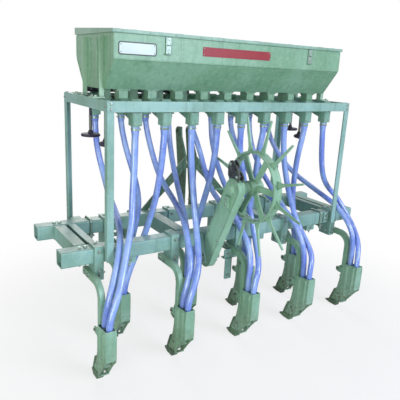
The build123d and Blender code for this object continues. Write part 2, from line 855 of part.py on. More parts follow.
def bend_radius(before, corner, after):
    """The largest arc that the runs on both sides of a corner leave room for."""
    run_in = Vector(corner) - Vector(before)
    run_out = Vector(after) - Vector(corner)
    half_turn = math.radians(run_in.get_angle(run_out)) / 2
    room = bend_share * min(run_in.length, run_out.length)
    return min(tube_bend, room / max(math.tan(half_turn), least_turn))


spout_end = cup_bottom - spout_long
straight_start = 0.04
straight_end = 0.93
tube_end = boot_front_top - tube_in_boot
for side_name, side, rail_face in sides:
    all_length = 0.0
    with BuildPart() as tubes:
        for column, start_x in enumerate(cup_xs):
            number = column - (cup_count - 1) // 2
            tyne_x = number * row_spacing
            leg_y = rear_leg_y if number in rear_tyne_columns else front_leg_y
            start_y = rail_face - side * (rail_thick + cup_deep / 2)
            end_y = leg_y - leg_deep - boot_wall - channel / 2
            if side_name == "seed":
                end_y = end_y - channel_step
            marks = [(0.0, 0.0, 0.0, 0.0), (straight_start, 0.0, 0.0, 0.0)]
            marks = marks + tube_marks[(side_name, number)]
            marks = marks + [(straight_end, 1.0, 1.0, 0.0), (1.0, 1.0, 1.0, 0.0)]
            route = []
            for down, across, back, bow in marks:
                route.append(
                    (
                        start_x + (tyne_x - start_x) * across + bow,
                        start_y + (end_y - start_y) * back,
                        spout_end + (tube_end - spout_end) * down,
                    )
                )
            corners = zip(route, route[1:], route[2:])
            bends = [bend_radius(*three) for three in corners]
            with BuildLine() as path:
                FilletPolyline(*route, radius=bends)
            with BuildSketch(Plane(origin=path.line @ 0, z_dir=path.line % 0)):
                Circle(tube_radius)
            sweep(path=path.line)
            length = sum(edge.length for edge in path.edges())
            all_length = all_length + length
            print(side_name, "tube", number, "long", round(length), "tightest arc", round(min(bends)))
    expected = all_length * math.pi * tube_radius**2
    print(side_name, "tubes' volume against section times length", round(tubes.part.volume / expected, 4))
    tubes.part.label = side_name + "_tubes"
    export_step(tubes.part, "parts/" + side_name + "_tubes.step")

# Bracket under the rear toolbar that carries the wheel arm
case_right = case_left + case_thick
arm_left = case_right + arm_from_case
arm_right = arm_left + arm_thick
cheek_xs = [case_left - cheek_clear - cheek_thick, arm_right + cheek_clear]
with BuildPart() as arm_bracket:
    for cheek_x in cheek_xs:
        with BuildSketch(Plane.YZ.offset(cheek_x)):
            with BuildLine():
                Polyline(
                    (rear_bar_back, bar_top - cheek_below_bar_top),
                    (rear_bar_back - cheek_shoulder, bar_top - cheek_below_bar_top),
                    (pivot_y - cheek_half, pivot_z),
                    (pivot_y - cheek_half, pivot_z - cheek_half),
                    (pivot_y + cheek_half, pivot_z - cheek_half),
                    (rear_bar_back, bar_bottom),
                    close=True,
                )
            make_face()
            with Locations((pivot_y, pivot_z)):
                Circle(pivot_pin_radius + running, mode=Mode.SUBTRACT)
        extrude(amount=cheek_thick)
arm_bracket.part.label = "arm_bracket"
export_step(arm_bracket.part, "parts/arm_bracket.step")

with BuildPart() as pivot_pin:
    with BuildSketch(Plane.YZ.offset(cheek_xs[0] - pivot_pin_proud)):
        with Locations((pivot_y, pivot_z)):
            Circle(pivot_pin_radius)
    extrude(amount=cheek_xs[1] - cheek_xs[0] + cheek_thick + 2 * pivot_pin_proud)
pivot_pin.part.label = "pivot_pin"
export_step(pivot_pin.part, "parts/pivot_pin.step")

# Chain case and arm, both from the pivot to the wheel's axle
arm_mid = ((pivot_y + hub_y) / 2, (pivot_z + hub_z) / 2)
arm_angle = math.degrees(math.atan2(hub_z - pivot_z, hub_y - pivot_y))
with BuildPart() as chain_case:
    with BuildSketch(Plane.YZ.offset(case_left)):
        with Locations(arm_mid):
            SlotCenterToCenter(arm_length, 2 * case_half, rotation=arm_angle)
        with Locations((pivot_y, pivot_z)):
            Circle(pivot_pin_radius + running, mode=Mode.SUBTRACT)
        with Locations((hub_y, hub_z)):
            Circle(axle_radius + running, mode=Mode.SUBTRACT)
    extrude(amount=case_thick)
chain_case.part.label = "chain_case"
export_step(chain_case.part, "parts/chain_case.step")

with BuildPart() as wheel_arm:
    with BuildSketch(Plane.YZ.offset(case_right)):
        with Locations(arm_mid):
            SlotCenterToCenter(arm_length, arm_wide, rotation=arm_angle)
        with Locations((pivot_y, pivot_z)):
            Circle(pivot_pin_radius + running, mode=Mode.SUBTRACT)
        with Locations((hub_y, hub_z)):
            Circle(axle_radius + running, mode=Mode.SUBTRACT)
    extrude(amount=arm_thick)
wheel_arm.part.label = "wheel_arm"
export_step(wheel_arm.part, "parts/wheel_arm.step")

# Ground wheel: hub, six spokes, rim and twelve spikes, turning with its axle
with BuildPart() as ground_wheel:
    with BuildSketch(Plane.YZ.offset(wheel_centre_x - rim_width / 2)):
        with Locations((hub_y, hub_z)):
            Circle(rim_outside)
            Circle(rim_outside - rim_thick, mode=Mode.SUBTRACT)
    extrude(amount=rim_width)
    with BuildSketch(Plane.YZ.offset(wheel_centre_x - hub_half)):
        with Locations((hub_y, hub_z)):
            Circle(hub_radius)
    extrude(amount=2 * hub_half)
    spoke_middle = (rim_outside - rim_thick / 2) / 2
    with BuildSketch(Plane.YZ.offset(wheel_centre_x - spoke_thick / 2)):
        with Locations((hub_y, hub_z)):
            with PolarLocations(spoke_middle, spoke_count):
                Rectangle(rim_outside - rim_thick, spoke_wide)
    extrude(amount=spoke_thick)
    spike_foot = rim_outside - rim_thick / 2
    with BuildSketch(Plane.YZ.offset(wheel_centre_x - spike_thick / 2)):
        with Locations((hub_y, hub_z)):
            for number in range(spike_count):
                Polygon(
                    (spike_foot, -spike_root / 2),
                    (spike_reach, -spike_tip / 2),
                    (spike_reach, spike_tip / 2),
                    (spike_foot, spike_root / 2),
                    rotation=spike_phase + number * 360 / spike_count,
                    align=None,
                )
    extrude(amount=spike_thick)
    with BuildSketch(Plane.YZ.offset(wheel_centre_x - hub_half)):
        with Locations((hub_y, hub_z)):
            Circle(axle_radius + running)
    extrude(amount=2 * hub_half, mode=Mode.SUBTRACT)
ground_wheel.part.label = "ground_wheel"
export_step(ground_wheel.part, "parts/ground_wheel.step")

with BuildPart() as wheel_axle:
    with BuildSketch(Plane.YZ.offset(case_left - axle_proud)):
        with Locations((hub_y, hub_z)):
            Circle(axle_radius)
    extrude(amount=wheel_centre_x + hub_half - case_left + 2 * axle_proud)
wheel_axle.part.label = "wheel_axle"
export_step(wheel_axle.part, "parts/wheel_axle.step")

# Hitch: mast with its braces, and the two lower pins on their plates
with BuildPart() as mast:
    for start_x in (mast_inside / 2, -mast_inside / 2 - mast_plate):
        with BuildSketch(Plane.YZ.offset(start_x)):
            with BuildLine():
                Polyline(
                    (front_bar_face, bar_bottom),
                    (front_bar_face + mast_deep, bar_bottom),
                    (front_bar_face + mast_deep, bar_top + mast_deep),
                    (link_y + mast_eye, top_link_z),
                    (link_y, top_link_z + mast_eye),
                    (link_y - mast_eye, top_link_z + mast_eye),
                    (link_y - mast_eye - mast_throat, top_link_z - mast_neck_below_link),
                    (front_bar_face, top_link_z - mast_bend_below_link),
                    close=True,
                )
            make_face()
            with Locations((link_y, top_link_z)):
                Circle(mast_eye)
                Circle(top_link_radius, mode=Mode.SUBTRACT)
        extrude(amount=mast_plate)
    with BuildSketch(Plane.YZ.offset(-mast_inside / 2)):
        with Locations((front_bar_face + mast_deep / 2, top_link_z - mast_bar_below_link)):
            Circle(mast_bar_radius)
    extrude(amount=mast_inside)
mast.part.label = "mast"
export_step(mast.part, "parts/mast.step")

# Braces from the mast down to the front toolbar, flat on its front face
brace_top = top_link_z - mast_bend_below_link
brace_lap = 8.0
with BuildPart() as braces:
    for side in (1, -1):
        inner = side * (mast_inside / 2 + mast_plate)
        foot_inner = side * (brace_foot - brace_lap)
        foot_outer = side * (brace_foot + brace_wide)
        with BuildSketch(Plane.XZ.offset(-front_bar_face)):
            with BuildLine():
                Polyline(
                    (inner, brace_top),
                    (inner, brace_top - brace_top_high),
                    (foot_inner, bar_top),
                    (foot_inner, bar_top - brace_cover),
                    (foot_outer, bar_top - brace_cover),
                    (foot_outer, bar_top),
                    close=True,
                )
            make_face()
        extrude(amount=-brace_thick)
braces.part.label = "mast_braces"
export_step(braces.part, "parts/mast_braces.step")

# Lower hitch plates on the front toolbar
plate_outside = lower_pin_spread / 2 - pin_collar_thick
with BuildPart() as hitch_plates:
    for side in (1, -1):
        start_x = plate_outside - hitch_plate if side > 0 else -plate_outside
        with BuildSketch(Plane.YZ.offset(start_x)):
            with BuildLine():
                Polyline(
                    (front_bar_face, bar_top),
                    (front_bar_face + hitch_shoulder, bar_top),
                    (link_y + hitch_nose, lower_pin_z + hitch_nose),
                    (link_y + hitch_nose, lower_pin_z - hitch_nose / 2),
                    (link_y + hitch_nose / 2, lower_pin_z - hitch_nose),
                    (link_y - hitch_nose, lower_pin_z - hitch_nose),
                    (front_bar_face, lower_pin_z + hitch_nose),
                    close=True,
                )
            make_face()
            with Locations((link_y, lower_pin_z)):
                Circle(pin_root_radius + running, mode=Mode.SUBTRACT)
        extrude(amount=hitch_plate)
hitch_plates.part.label = "hitch_plates"
export_step(hitch_plates.part, "parts/hitch_plates.step")

# Lower pins, from the inside out: head, root through the plate, collar and pin
pin_steps = [
    (-hitch_plate - pin_head_thick, pin_head_thick, pin_head_radius),
    (-hitch_plate, hitch_plate, pin_root_radius),
    (0.0, pin_collar_thick, pin_collar_radius),
    (pin_collar_thick, lower_pin_long, lower_pin_radius),
]
with BuildPart() as hitch_pins:
    for side in (1, -1):
        for start, long, radius in pin_steps:
            with BuildSketch(Plane.YZ.offset(side * (plate_outside + start))):
                with Locations((link_y, lower_pin_z)):
                    Circle(radius)
            extrude(amount=side * long)
hitch_pins.part.label = "hitch_pins"
export_step(hitch_pins.part, "parts/hitch_pins.step")
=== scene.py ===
from math import atan2, cos, pi, radians, sin
from random import Random

import bmesh
import bpy
from mathutils import Matrix, Vector


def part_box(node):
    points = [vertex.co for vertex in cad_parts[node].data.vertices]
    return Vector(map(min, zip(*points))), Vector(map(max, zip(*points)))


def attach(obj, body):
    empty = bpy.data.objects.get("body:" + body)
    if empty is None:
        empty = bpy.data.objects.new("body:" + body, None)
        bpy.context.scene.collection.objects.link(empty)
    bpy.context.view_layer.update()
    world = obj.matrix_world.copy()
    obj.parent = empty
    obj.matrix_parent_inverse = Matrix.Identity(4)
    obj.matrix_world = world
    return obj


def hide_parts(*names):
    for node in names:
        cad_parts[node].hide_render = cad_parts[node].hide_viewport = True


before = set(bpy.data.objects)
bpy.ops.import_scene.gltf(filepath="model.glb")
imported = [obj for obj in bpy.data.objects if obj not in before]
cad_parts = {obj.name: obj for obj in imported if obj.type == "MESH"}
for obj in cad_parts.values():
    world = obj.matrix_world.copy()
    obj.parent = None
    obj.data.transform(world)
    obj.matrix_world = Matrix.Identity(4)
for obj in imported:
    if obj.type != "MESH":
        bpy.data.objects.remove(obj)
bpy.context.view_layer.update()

# Everything below is laid out in millimetres from the middle of the drill: x to
# its right, y the way it is pulled, measured from halfway between the toolbars,
# and z up from the ground
MM = 0.001
# Halfway between the two toolbars along y, in metres
MIDDLE_Y = (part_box("rear_toolbar")[0].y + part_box("front_toolbar")[1].y) / 2
# Edges sharper than these angles are shaded sharp, and broken where a piece has a width for it
SHARP, BROKEN = radians(38), radians(40)

ROW, CUP = 203, 150.2
REAR_TYNES = [-4 * ROW, -2 * ROW, 0, 2 * ROW, 4 * ROW]
FRONT_TYNES = [-3 * ROW, -1 * ROW, 1 * ROW, 3 * ROW]
CUPS = [CUP * number for number in range(-4, 5)]
END = 752.5
BAR_END, BAR_Y = 951.5, 200
BAR_LOW, BAR_TOP = 542, 617
REAR_BAR_BACK, REAR_BAR_FRONT = -237.5, -162.5
FRONT_BAR_BACK, FRONT_BAR_FACE = 162.5, 237.5
RAIL_LOW, RAIL_TOP = 1244, 1291
REAR_RAIL_FACE, FRONT_RAIL_FACE = -282.5, 310.5
HOPPER_X = 696
HOPPER_BACK, HOPPER_FRONT = -215, 265
FLOOR_BACK, FLOOR_FRONT = -114, 164
HOPPER_FLOOR, HOPPER_KNEE = 1333, 1466
LID_BACK, LID_FRONT = -223, 269
LID_TOP, LID_RISE = 1590.3, 19
THROATS, SPOUTS, CUP_FACES = (-80, 130), (-238.5, 266.5), (-262.5, 290.5)
SHAFT_Z, STIRRER_Z = 1268, 1362
CASE_FACE, WHEEL_X = -211, -80
HUB_Y, HUB_Z = -477.8, 903.2
PIVOT_Y, PIVOT_Z = -278, 490

SIDES = (-1, 1)
UP, DOWN, AHEAD, BACK = (0, 0, 1), (0, 0, -1), (0, 1, 0), (0, -1, 0)
RIGHT, LEFT = (1, 0, 0), (-1, 0, 0)


def span(middle, half):
    """The two ends of a span from its middle."""
    return middle - half, middle + half


def arc(y, z, radius, start, sweep, steps):
    """Points along an arc, from an angle through a sweep."""
    turns = [start + sweep * step / steps for step in range(steps + 1)]
    return [(y + radius * cos(turn), z + radius * sin(turn)) for turn in turns]


def around(y, z, radius, count, start=0):
    """Points round a circle."""
    return arc(y, z, radius, start, 2 * pi, count)[:-1]


def across(direction):
    """Two directions square to this one and to each other."""
    direction = direction.normalized()
    helper = Vector(UP) if abs(direction.z) < 0.9 else Vector(RIGHT)
    first = direction.cross(helper).normalized()
    return first, direction.cross(first).normalized()


def put(name, data):
    """A new object in the scene."""
    made = bpy.data.objects.new(name, data)
    bpy.context.scene.collection.objects.link(made)
    return made


# How far along and how thick a fastener's rows are, in shares of its size
WASHER = ((0, 1), (0.14, 1.04), (0.2, 1), (0.2, 0.8))
HEAD = ((0, 0.86), (0.5, 0.86), (0.62, 0.76), (0.64, 0.5))
NUT = ((0, 0.78), (0.1, 0.87), (0.7, 0.87), (0.8, 0.76))
DOME = ((0, 1), (0.2, 0.97), (0.42, 0.78), (0.56, 0.4), (0.6, 0.12))


class Work:
    """Metalwork gathered into one piece, laid out in millimetres."""

    under_way = []

    def __init__(self, seed, name, finish, edge=0, body="frame"):
        self.metal = bmesh.new()
        self.random = Random(seed)
        self.name, self.finish, self.edge, self.body = name, finish, edge, body
        self.under_way.append(self)

    def skin(self, rings, loop=False):
        """Faces between rings of points, each ring as long as the next."""
        made = [[self.metal.verts.new(point) for point in ring] for ring in rings]
        for ring, after in zip(made, made[1:] + (made[:1] if loop else [])):
            for number, point in enumerate(ring):
                beside = (number + 1) % len(ring)
                self.metal.faces.new((point, ring[beside], after[beside], after[number]))
        if not loop:
            self.metal.faces.new(made[0][::-1])
            self.metal.faces.new(made[-1])

    def block(self, low, high):
        """A plain block between two opposite corners."""
        (x0, x1), (y0, y1), (z0, z1) = (sorted(pair) for pair in zip(low, high))
        self.skin([[(x0, y0, z), (x1, y0, z), (x1, y1, z), (x0, y1, z)] for z in (z0, z1)])

    def plate(self, outline, axis, start, end):
        """A flat plate cut to an outline, from start to end along an axis."""
        order = {"x": (2, 0, 1), "y": (1, 2, 0), "z": (0, 1, 2)}[axis]
        if axis == "y":
            outline = [(b, a) for a, b in outline]
        area = sum(a * d - c * b for (a, b), (c, d) in zip(outline, outline[1:] + outline[:1]))
        if (area < 0) == (end > start):
            outline = outline[::-1]
        self.skin([[[(a, b, c)[part] for part in order] for a, b in outline] for c in (start, end)])

    def turned(self, start, direction, profile, sides=20, turn=0):
        """A turned part: how far along it and how thick it is, row by row."""
        start, direction = Vector(start), Vector(direction).normalized()
        first, second = across(direction)
        spokes = [first * out + second * over for out, over in around(0, 0, 1, sides, turn)]
        rows = [(start + direction * along, radius) for along, radius in profile]
        self.skin([[middle + spoke * radius for spoke in spokes] for middle, radius in rows])

    def rod(self, start, end, radius, sides=16, chamfer=1):
        """A round bar between two points with broken edges."""
        start, end = Vector(start), Vector(end)
        long = (end - start).length
        self.turned(start, end - start, [
            (0, radius - chamfer), (chamfer, radius), (long - chamfer, radius), (long, radius - chamfer),
        ], sides)

    def edging(self, corners, radius, sides, chamfer):
        """Rods from corner to corner, all the way round."""
        for corner, after in zip(corners, corners[1:] + corners[:1]):
            self.rod(corner, after, radius, sides, chamfer)

    def swept(self, points, radii, sides=8, loop=False):
        """A round section carried along a line of points, with its radius at each point or one for all."""
        points = [Vector(point) for point in points]
        if not isinstance(radii, list):
            radii = [radii] * len(points)
        circle = around(0, 0, 1, sides)
        last = len(points) - 1
        side = None
        rings = []
        for number, point in enumerate(points):
            ahead = points[(number + 1) % len(points)] if loop else points[min(number + 1, last)]
            behind = points[number - 1] if loop or number else point
            along = (ahead - behind).normalized()
            if side is None:
                side = across(along)[0]
            side = (side - along * side.dot(along)).normalized()
            other = along.cross(side)
            rings.append([point + (side * out + other * over) * radii[number] for out, over in circle])
        self.skin(rings, loop)

    def hoop(self, x, y, z, radius, thick, count):
        """A round hoop facing along x."""
        self.swept([(x, *point) for point in around(y, z, radius, count)], thick, loop=True)

    def scaled(self, at, direction, size, shape, sides, turn=0):
        """A turned part whose shape is given in shares of its size."""
        self.turned(at, direction, [(along * size, radius * size) for along, radius in shape], sides, turn)

    def bolt(self, at, direction, size=10, grip=0):
        """A hexagon bolt head on its washer, and its nut if the grip is given."""
        turn = self.random.uniform(0, pi / 3)
        self.scaled(at, direction, size, WASHER, 16)
        way = Vector(direction).normalized()
        self.scaled(Vector(at) + way * 0.2 * size, direction, size, HEAD, 6, turn)
        if grip:
            self.nut(Vector(at) - way * grip, -Vector(direction), size)

    def nut(self, at, direction, size=10, proud=None):
        """A hexagon nut on its washer with the bolt's threaded end standing proud."""
        at, direction = Vector(at), Vector(direction).normalized()
        proud = 0.45 * size if proud is None else proud
        turn = self.random.uniform(0, pi / 3)
        self.scaled(at, direction, size, WASHER, 16)
        base = at + direction * 0.2 * size
        high = 0.8 * size
        self.scaled(base, direction, size, NUT, 6, turn)
        thread = [(high - 1, 0.5 * size)]
        along = 0
        pitch = 0.15 * size
        while along < proud:
            thread += [(high + along, 0.5 * size), (high + along + pitch / 2, 0.44 * size)]
            along += pitch
        thread.append((high + proud + pitch, 0.38 * size))
        self.turned(base, direction, thread, 10)

    def weld(self, start, end, size):
        """A weld bead along a seam, rippled where each drop of metal set."""
        start, end = Vector(start), Vector(end)
        drop, wave, loose = 2.2, 2.6, 0.25
        steps = max(4, round((end - start).length / drop))
        points, radii = [], []
        for number in range(steps + 1):
            share = number / steps
            wander = Vector([self.random.uniform(-loose, loose) for axis in range(3)])
            points.append(start.lerp(end, share) + wander)
            ripple = 0.86 + 0.14 * cos(number * wave) + self.random.uniform(-0.06, 0.06)
            taper = min(1, 0.55 + 4 * min(share, 1 - share))
            radii.append(size * ripple * taper)
        self.swept(points, radii, 7)

    def rivet(self, at, direction, size):
        """A domed rivet head."""
        self.scaled(at, direction, size, DOME, 12)

    def done(self):
        """Makes the piece: its finish, its broken edges and the body it moves with."""
        bmesh.ops.recalc_face_normals(self.metal, faces=self.metal.faces)
        for point in self.metal.verts:
            x, y, z = point.co
            point.co = Vector((x * MM, y * MM + MIDDLE_Y, z * MM))
        mesh = bpy.data.meshes.new(self.name)
        self.metal.to_mesh(mesh)
        self.metal.free()
        for face in mesh.polygons:
            face.use_smooth = True
        mesh.set_sharp_from_angle(angle=SHARP)
        mesh.materials.append(self.finish)
        piece = put(self.name, mesh)
        if self.edge:
            broken = piece.modifiers.new("broken_edges", "BEVEL")
            broken.width = self.edge * MM
            broken.segments = 2
            broken.limit_method = "ANGLE"
            broken.angle_limit = BROKEN
            broken.harden_normals = True
        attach(piece, self.body)


# Finishes


def rgb(red, green, blue):
    """A colour from its 0 to 255 values as seen on a screen."""
    return (*[(part / 255) ** 2.2 for part in (red, green, blue)], 1)


def sums(operation, behind=False):
    """A method of Wire for one kind of sum, with the wire in front or behind."""
    def method(wire, other):
        first, second = (other, wire) if behind else (wire, other)
        return wire.finish.node("Math", {0: first, 1: second}, operation=operation)
    return method


class Wire:
    """One output of a finish's nodes. Sums on it are written as Python."""

    def __init__(self, finish, socket):
        self.finish = finish
        self.socket = socket

    __add__, __radd__ = sums("ADD"), sums("ADD", True)
    __sub__, __rsub__ = sums("SUBTRACT"), sums("SUBTRACT", True)
    __mul__, __rmul__ = sums("MULTIPLY"), sums("MULTIPLY", True)


class Finish:
    """The nodes of a material or of the world, and how they are joined."""

    def __init__(self, owner):
        self.owner = owner
        owner.use_nodes = True
        self.tree = owner.node_tree
        self.tree.nodes.clear()

    def node(self, kind, sockets=None, output=0, **settings):
        """Adds a node: its settings first, then its sockets' values and links."""
        made = self.tree.nodes.new("ShaderNode" + kind)
        for setting, value in settings.items():
            setattr(made, setting, value)
        for socket, value in (sockets or {}).items():
            if isinstance(value, Wire):
                self.tree.links.new(value.socket, made.inputs[socket])
            elif value is not None:
                made.inputs[socket].default_value = value
        return Wire(self, made.outputs[output]) if made.outputs else None

    def place(self):
        """Where a point is on the drill at rest, in metres."""
        return self.node("TexCoord", output="Object")

    def stretched(self, place, scale):
        """The place with each axis scaled, to draw a pattern out along one."""
        return self.node("VectorMath", {0: place, 1: scale}, operation="MULTIPLY")

    def cloud(self, place, scale, detail=3, roughness=0.55):
        """Soft random patches from 0 to 1."""
        sockets = {"Vector": place, "Scale": scale, "Detail": detail, "Roughness": roughness}
        return self.node("TexNoise", sockets)

    def between(self, value, low, high):
        """0 below low, 1 above high, smooth in the middle."""
        sockets = {"Value": value, "From Min": low, "From Max": high}
        return self.node("MapRange", sockets, interpolation_type="SMOOTHSTEP")

    def height(self, place):
        """How high a point is above the ground in metres."""
        return self.node("SeparateXYZ", {0: place}, "Z")

    def normal(self):
        """Which way a surface faces."""
        return self.node("NewGeometry", output="Normal")

    def facing(self, way, other):
        """How squarely one direction faces another."""
        return self.node("VectorMath", {0: way, 1: other}, "Value", operation="DOT_PRODUCT")

    def blend(self, share, under, over):
        """One colour over another, from nodes or as the 0 to 255 values seen on a screen."""
        under, over = (part if isinstance(part, Wire) else rgb(*part) for part in (under, over))
        return self.node("Mix", {0: share, 6: under, 7: over}, 2, data_type="RGBA")

    def edges(self, width, low, high):
        """1 along sharp outer edges, where paint rubs off."""
        rounded = self.node("Bevel", {"Radius": width}, samples=6)
        return self.between(1 - self.facing(rounded, self.normal()), low, high)

    def corners(self, distance):
        """1 deep in corners: painted shade on the paint, and where rust gathers on bare steel."""
        return 1 - self.node("AmbientOcclusion", {"Distance": distance}, "AO", samples=6)

    def bumps(self, height, distance, strength, edge=0):
        """A surface with this relief, and rounded edges if asked for."""
        normal = self.node("Bevel", {"Radius": edge}, samples=6) if edge else None
        sockets = {"Strength": strength, "Distance": distance, "Height": height, "Normal": normal}
        return self.node("Bump", sockets)

    def cover(self, colour, roughness, normal=None, metallic=0, coat=0, **others):
        """Joins the colour, roughness and relief to the surface."""
        sockets = {
            "Base Color": colour, "Roughness": roughness, "Normal": normal,
            "Metallic": metallic, "Coat Weight": coat,
        }
        sockets.update({name.replace("_", " "): value for name, value in others.items()})
        self.node("OutputMaterial", {"Surface": self.node("BsdfPrincipled", sockets)})
        return self.owner


def new_finish(name):
    """A material with no nodes yet."""
    return Finish(bpy.data.materials.new(name))


def green_paint(name, pale, deep, worn, soiled=0, dents=0):
    """Machine paint: patchy, chipped along its edges, dusty, soiled near the ground, and darkened in corners
    as painted shade.
    """
    paint = new_finish(name)
    place = paint.place()
    patches = paint.cloud(place, 3.1, 4)
    mottle = paint.cloud(place, 46)
    runs = paint.cloud(paint.stretched(place, (34, 34, 3)), 1, 2)
    colour = paint.blend(paint.between(patches, 0.38, 0.62), deep, pale)
    colour = paint.blend(0.16 * paint.between(mottle, 0.42, 0.66), colour, (188, 214, 186))
    colour = paint.blend(0.22 * paint.between(runs, 0.52, 0.72), colour, (58, 92, 66))
    # Painted shade: the paint darkens towards a deep green in corners and crevices, where shade falls
    corner_shade = paint.corners(0.035) * (0.55 + 0.45 * patches)
    colour = paint.blend(0.62 * paint.between(corner_shade, 0.28, 0.95), colour, (34, 62, 46))
    dust = paint.between(paint.facing(paint.normal(), UP), 0.5, 0.95) * paint.between(mottle, 0.3, 0.7)
    colour = paint.blend(0.3 * dust, colour, (186, 196, 170))
    scratches = paint.cloud(paint.stretched(place, (150, 150, 22)), 1, 2)
    chips = paint.edges(0.0035, 0.03, 0.16) * paint.between(paint.cloud(place, 88, 4), 0.5, 0.62)
    chips = worn * chips
    colour = paint.blend(chips, colour, (132, 138, 128))
    scuffs = worn * 0.4 * paint.between(scratches, 0.66, 0.78)
    colour = paint.blend(scuffs, colour, (160, 196, 166))
    relief = 0.5 * paint.cloud(place, 420, 2) + 0.35 * mottle + dents * paint.cloud(place, 7, 1)
    roughness = 0.34 + 0.16 * patches + 0.2 * dust
    if soiled:
        low = paint.between(soiled - paint.height(place) + 0.12 * patches - 0.06, 0, 0.26)
        soil = low * paint.between(paint.cloud(place, 60, 5), 0.3, 0.62)
        colour = paint.blend(0.55 * soil, colour, (112, 104, 80))
        roughness = roughness + 0.3 * soil
        relief = relief + 0.6 * soil
    relief = paint.bumps(relief - 0.7 * chips, 0.0006, 0.5, 0.0018)
    return paint.cover(colour, roughness, relief, coat=0.14, Coat_Roughness=0.22)


def bare_steel(name, tone, rust, roughness=0.36):
    """Steel with drawn grain, dulled and rusting in patches."""
    steel = new_finish(name)
    place = steel.place()
    grain = steel.cloud(steel.stretched(place, (30, 30, 4)), 9)
    spots = steel.cloud(place, 70, 5, 0.65)
    colour = steel.blend(0.35 * grain, tone, (74, 78, 78))
    rusted = rust * steel.between(spots + 0.25 * steel.corners(0.012), 0.52, 0.74)
    colour = steel.blend(rusted, colour, (108, 72, 46))
    bright = steel.edges(0.0025, 0.03, 0.2)
    colour = steel.blend(0.5 * bright, colour, (206, 208, 202))
    relief = steel.bumps(grain + 0.8 * spots, 0.0004, 0.5, 0.001)
    roughness = roughness + 0.3 * rusted + 0.12 * grain
    return steel.cover(colour, roughness, relief, metallic=0.85 - 0.75 * rusted)


def hose_plastic():
    """Clear blue hose: glossy, a little milky, with dust along it, and pale streaks along it that are partly
    flow lines and partly painted highlights.
    """
    hose = new_finish("blue_hose")
    place = hose.place()
    flow_and_highlight = hose.cloud(hose.stretched(place, (70, 70, 6)), 1, 2)
    milky = hose.cloud(place, 6)
    colour = hose.blend(hose.between(milky, 0.35, 0.65), (112, 138, 224), (152, 182, 244))
    # Pale streaks along the hose: flow lines in the plastic and painted highlight streaks; the same noise
    # gives the relief
    colour = hose.blend(0.34 * hose.between(flow_and_highlight, 0.42, 0.78), colour, (198, 212, 248))
    dust = hose.between(hose.cloud(place, 90, 5), 0.5, 0.72)
    colour = hose.blend(0.2 * dust, colour, (178, 182, 200))
    return hose.cover(
        colour, 0.2 + 0.22 * dust, hose.bumps(flow_and_highlight + 0.4 * dust, 0.0003, 0.25), coat=0.85,
        Subsurface_Weight=0.25, Subsurface_Radius=(0.2, 0.3, 0.9), Subsurface_Scale=0.02,
        Coat_Roughness=0.14,
    )


def moulded(name, tone, pale):
    """Moulded knob plastic with a fine grain, greyed where hands rub it."""
    plastic = new_finish(name)
    place = plastic.place()
    grain = plastic.node("TexVoronoi", {"Vector": place, "Scale": 420})
    rubbed = plastic.edges(0.003, 0.04, 0.3)
    haze = plastic.cloud(place, 34, 4)
    colour = plastic.blend(0.5 * plastic.between(haze, 0.4, 0.7) + 0.4 * rubbed, tone, pale)
    return plastic.cover(colour, 0.5 + 0.18 * haze, plastic.bumps(grain, 0.0003, 0.4, 0.001))


def enamel(name, tone, faded):
    """Enamel on a thin sign plate with no words on it, faded and fly-specked."""
    plate = new_finish(name)
    place = plate.place()
    fade = plate.cloud(place, 12)
    specks = plate.between(plate.cloud(place, 210, 4), 0.66, 0.74)
    colour = plate.blend(0.6 * plate.between(fade, 0.35, 0.7), tone, faded)
    colour = plate.blend(0.4 * specks, colour, (92, 84, 70))
    relief = plate.bumps(0.6 * fade + 0.5 * specks, 0.0004, 0.4, 0.0008)
    return plate.cover(colour, 0.3 + 0.2 * fade, relief, coat=0.08)


def shade_in_openings():
    """Painted shade for the inside of an opening: near black, lifted a little in dusty patches."""
    hollow = new_finish("shade_in_openings")
    dust = hollow.cloud(hollow.place(), 40, 4)
    colour = hollow.blend(hollow.between(dust, 0.4, 0.7), (14, 20, 17), (32, 42, 34))
    return hollow.cover(colour, 0.7 + 0.2 * dust, hollow.bumps(dust, 0.0004, 0.4))


frame_green = green_paint("frame_green", (150, 190, 184), (128, 168, 156), 0.6)
sheet_green = green_paint("sheet_green", (134, 176, 148), (118, 162, 130), 0.35, 0, 2.4)
# A paler copy of the sheet paint for the lid, its ribs and rim: painted light
lid_lit_paint = green_paint("lid_lit_paint", (150, 186, 168), (126, 164, 144), 0.5, 0, 2.4)
# A paler copy of the frame paint for the hopper stands and their welds: painted light where the lamp falls
# on them
stand_lit_paint = green_paint("stand_lit_paint", (172, 206, 180), (150, 188, 158), 0.5)
cup_green = green_paint("cup_green", (128, 170, 154), (106, 150, 130), 0.6)
tyne_green = green_paint("tyne_green", (150, 192, 170), (126, 168, 140), 0.8, 0.3)
wheel_green = green_paint("wheel_green", (154, 198, 170), (130, 174, 144), 0.8)
# A darker copy of the frame paint for the mast, its braces, bosses and welds: painted shade
mast_shade_paint = green_paint("mast_shade_paint", (88, 122, 94), (64, 94, 70), 0.6)
dark_latch = green_paint("dark_latch", (66, 70, 70), (46, 44, 52), 0.8)
point_green = green_paint("point_green", (98, 130, 104), (72, 96, 78), 1, 0.12)
plated_steel = bare_steel("plated_steel", (156, 178, 166), 0.1)
dull_steel = bare_steel("dull_steel", (112, 118, 112), 0.45, 0.45)
blue_hose = hose_plastic()
knob_plastic = moulded("knob_plastic", (44, 40, 56), (84, 78, 100))
white_enamel = enamel("white_enamel", (212, 226, 222), (194, 210, 202))
black_enamel = enamel("black_enamel", (36, 42, 38), (62, 68, 62))
red_enamel = enamel("red_enamel", (146, 26, 42), (156, 46, 54))
# Painted shade, used for dark plates inside openings
opening_shade = shade_in_openings()

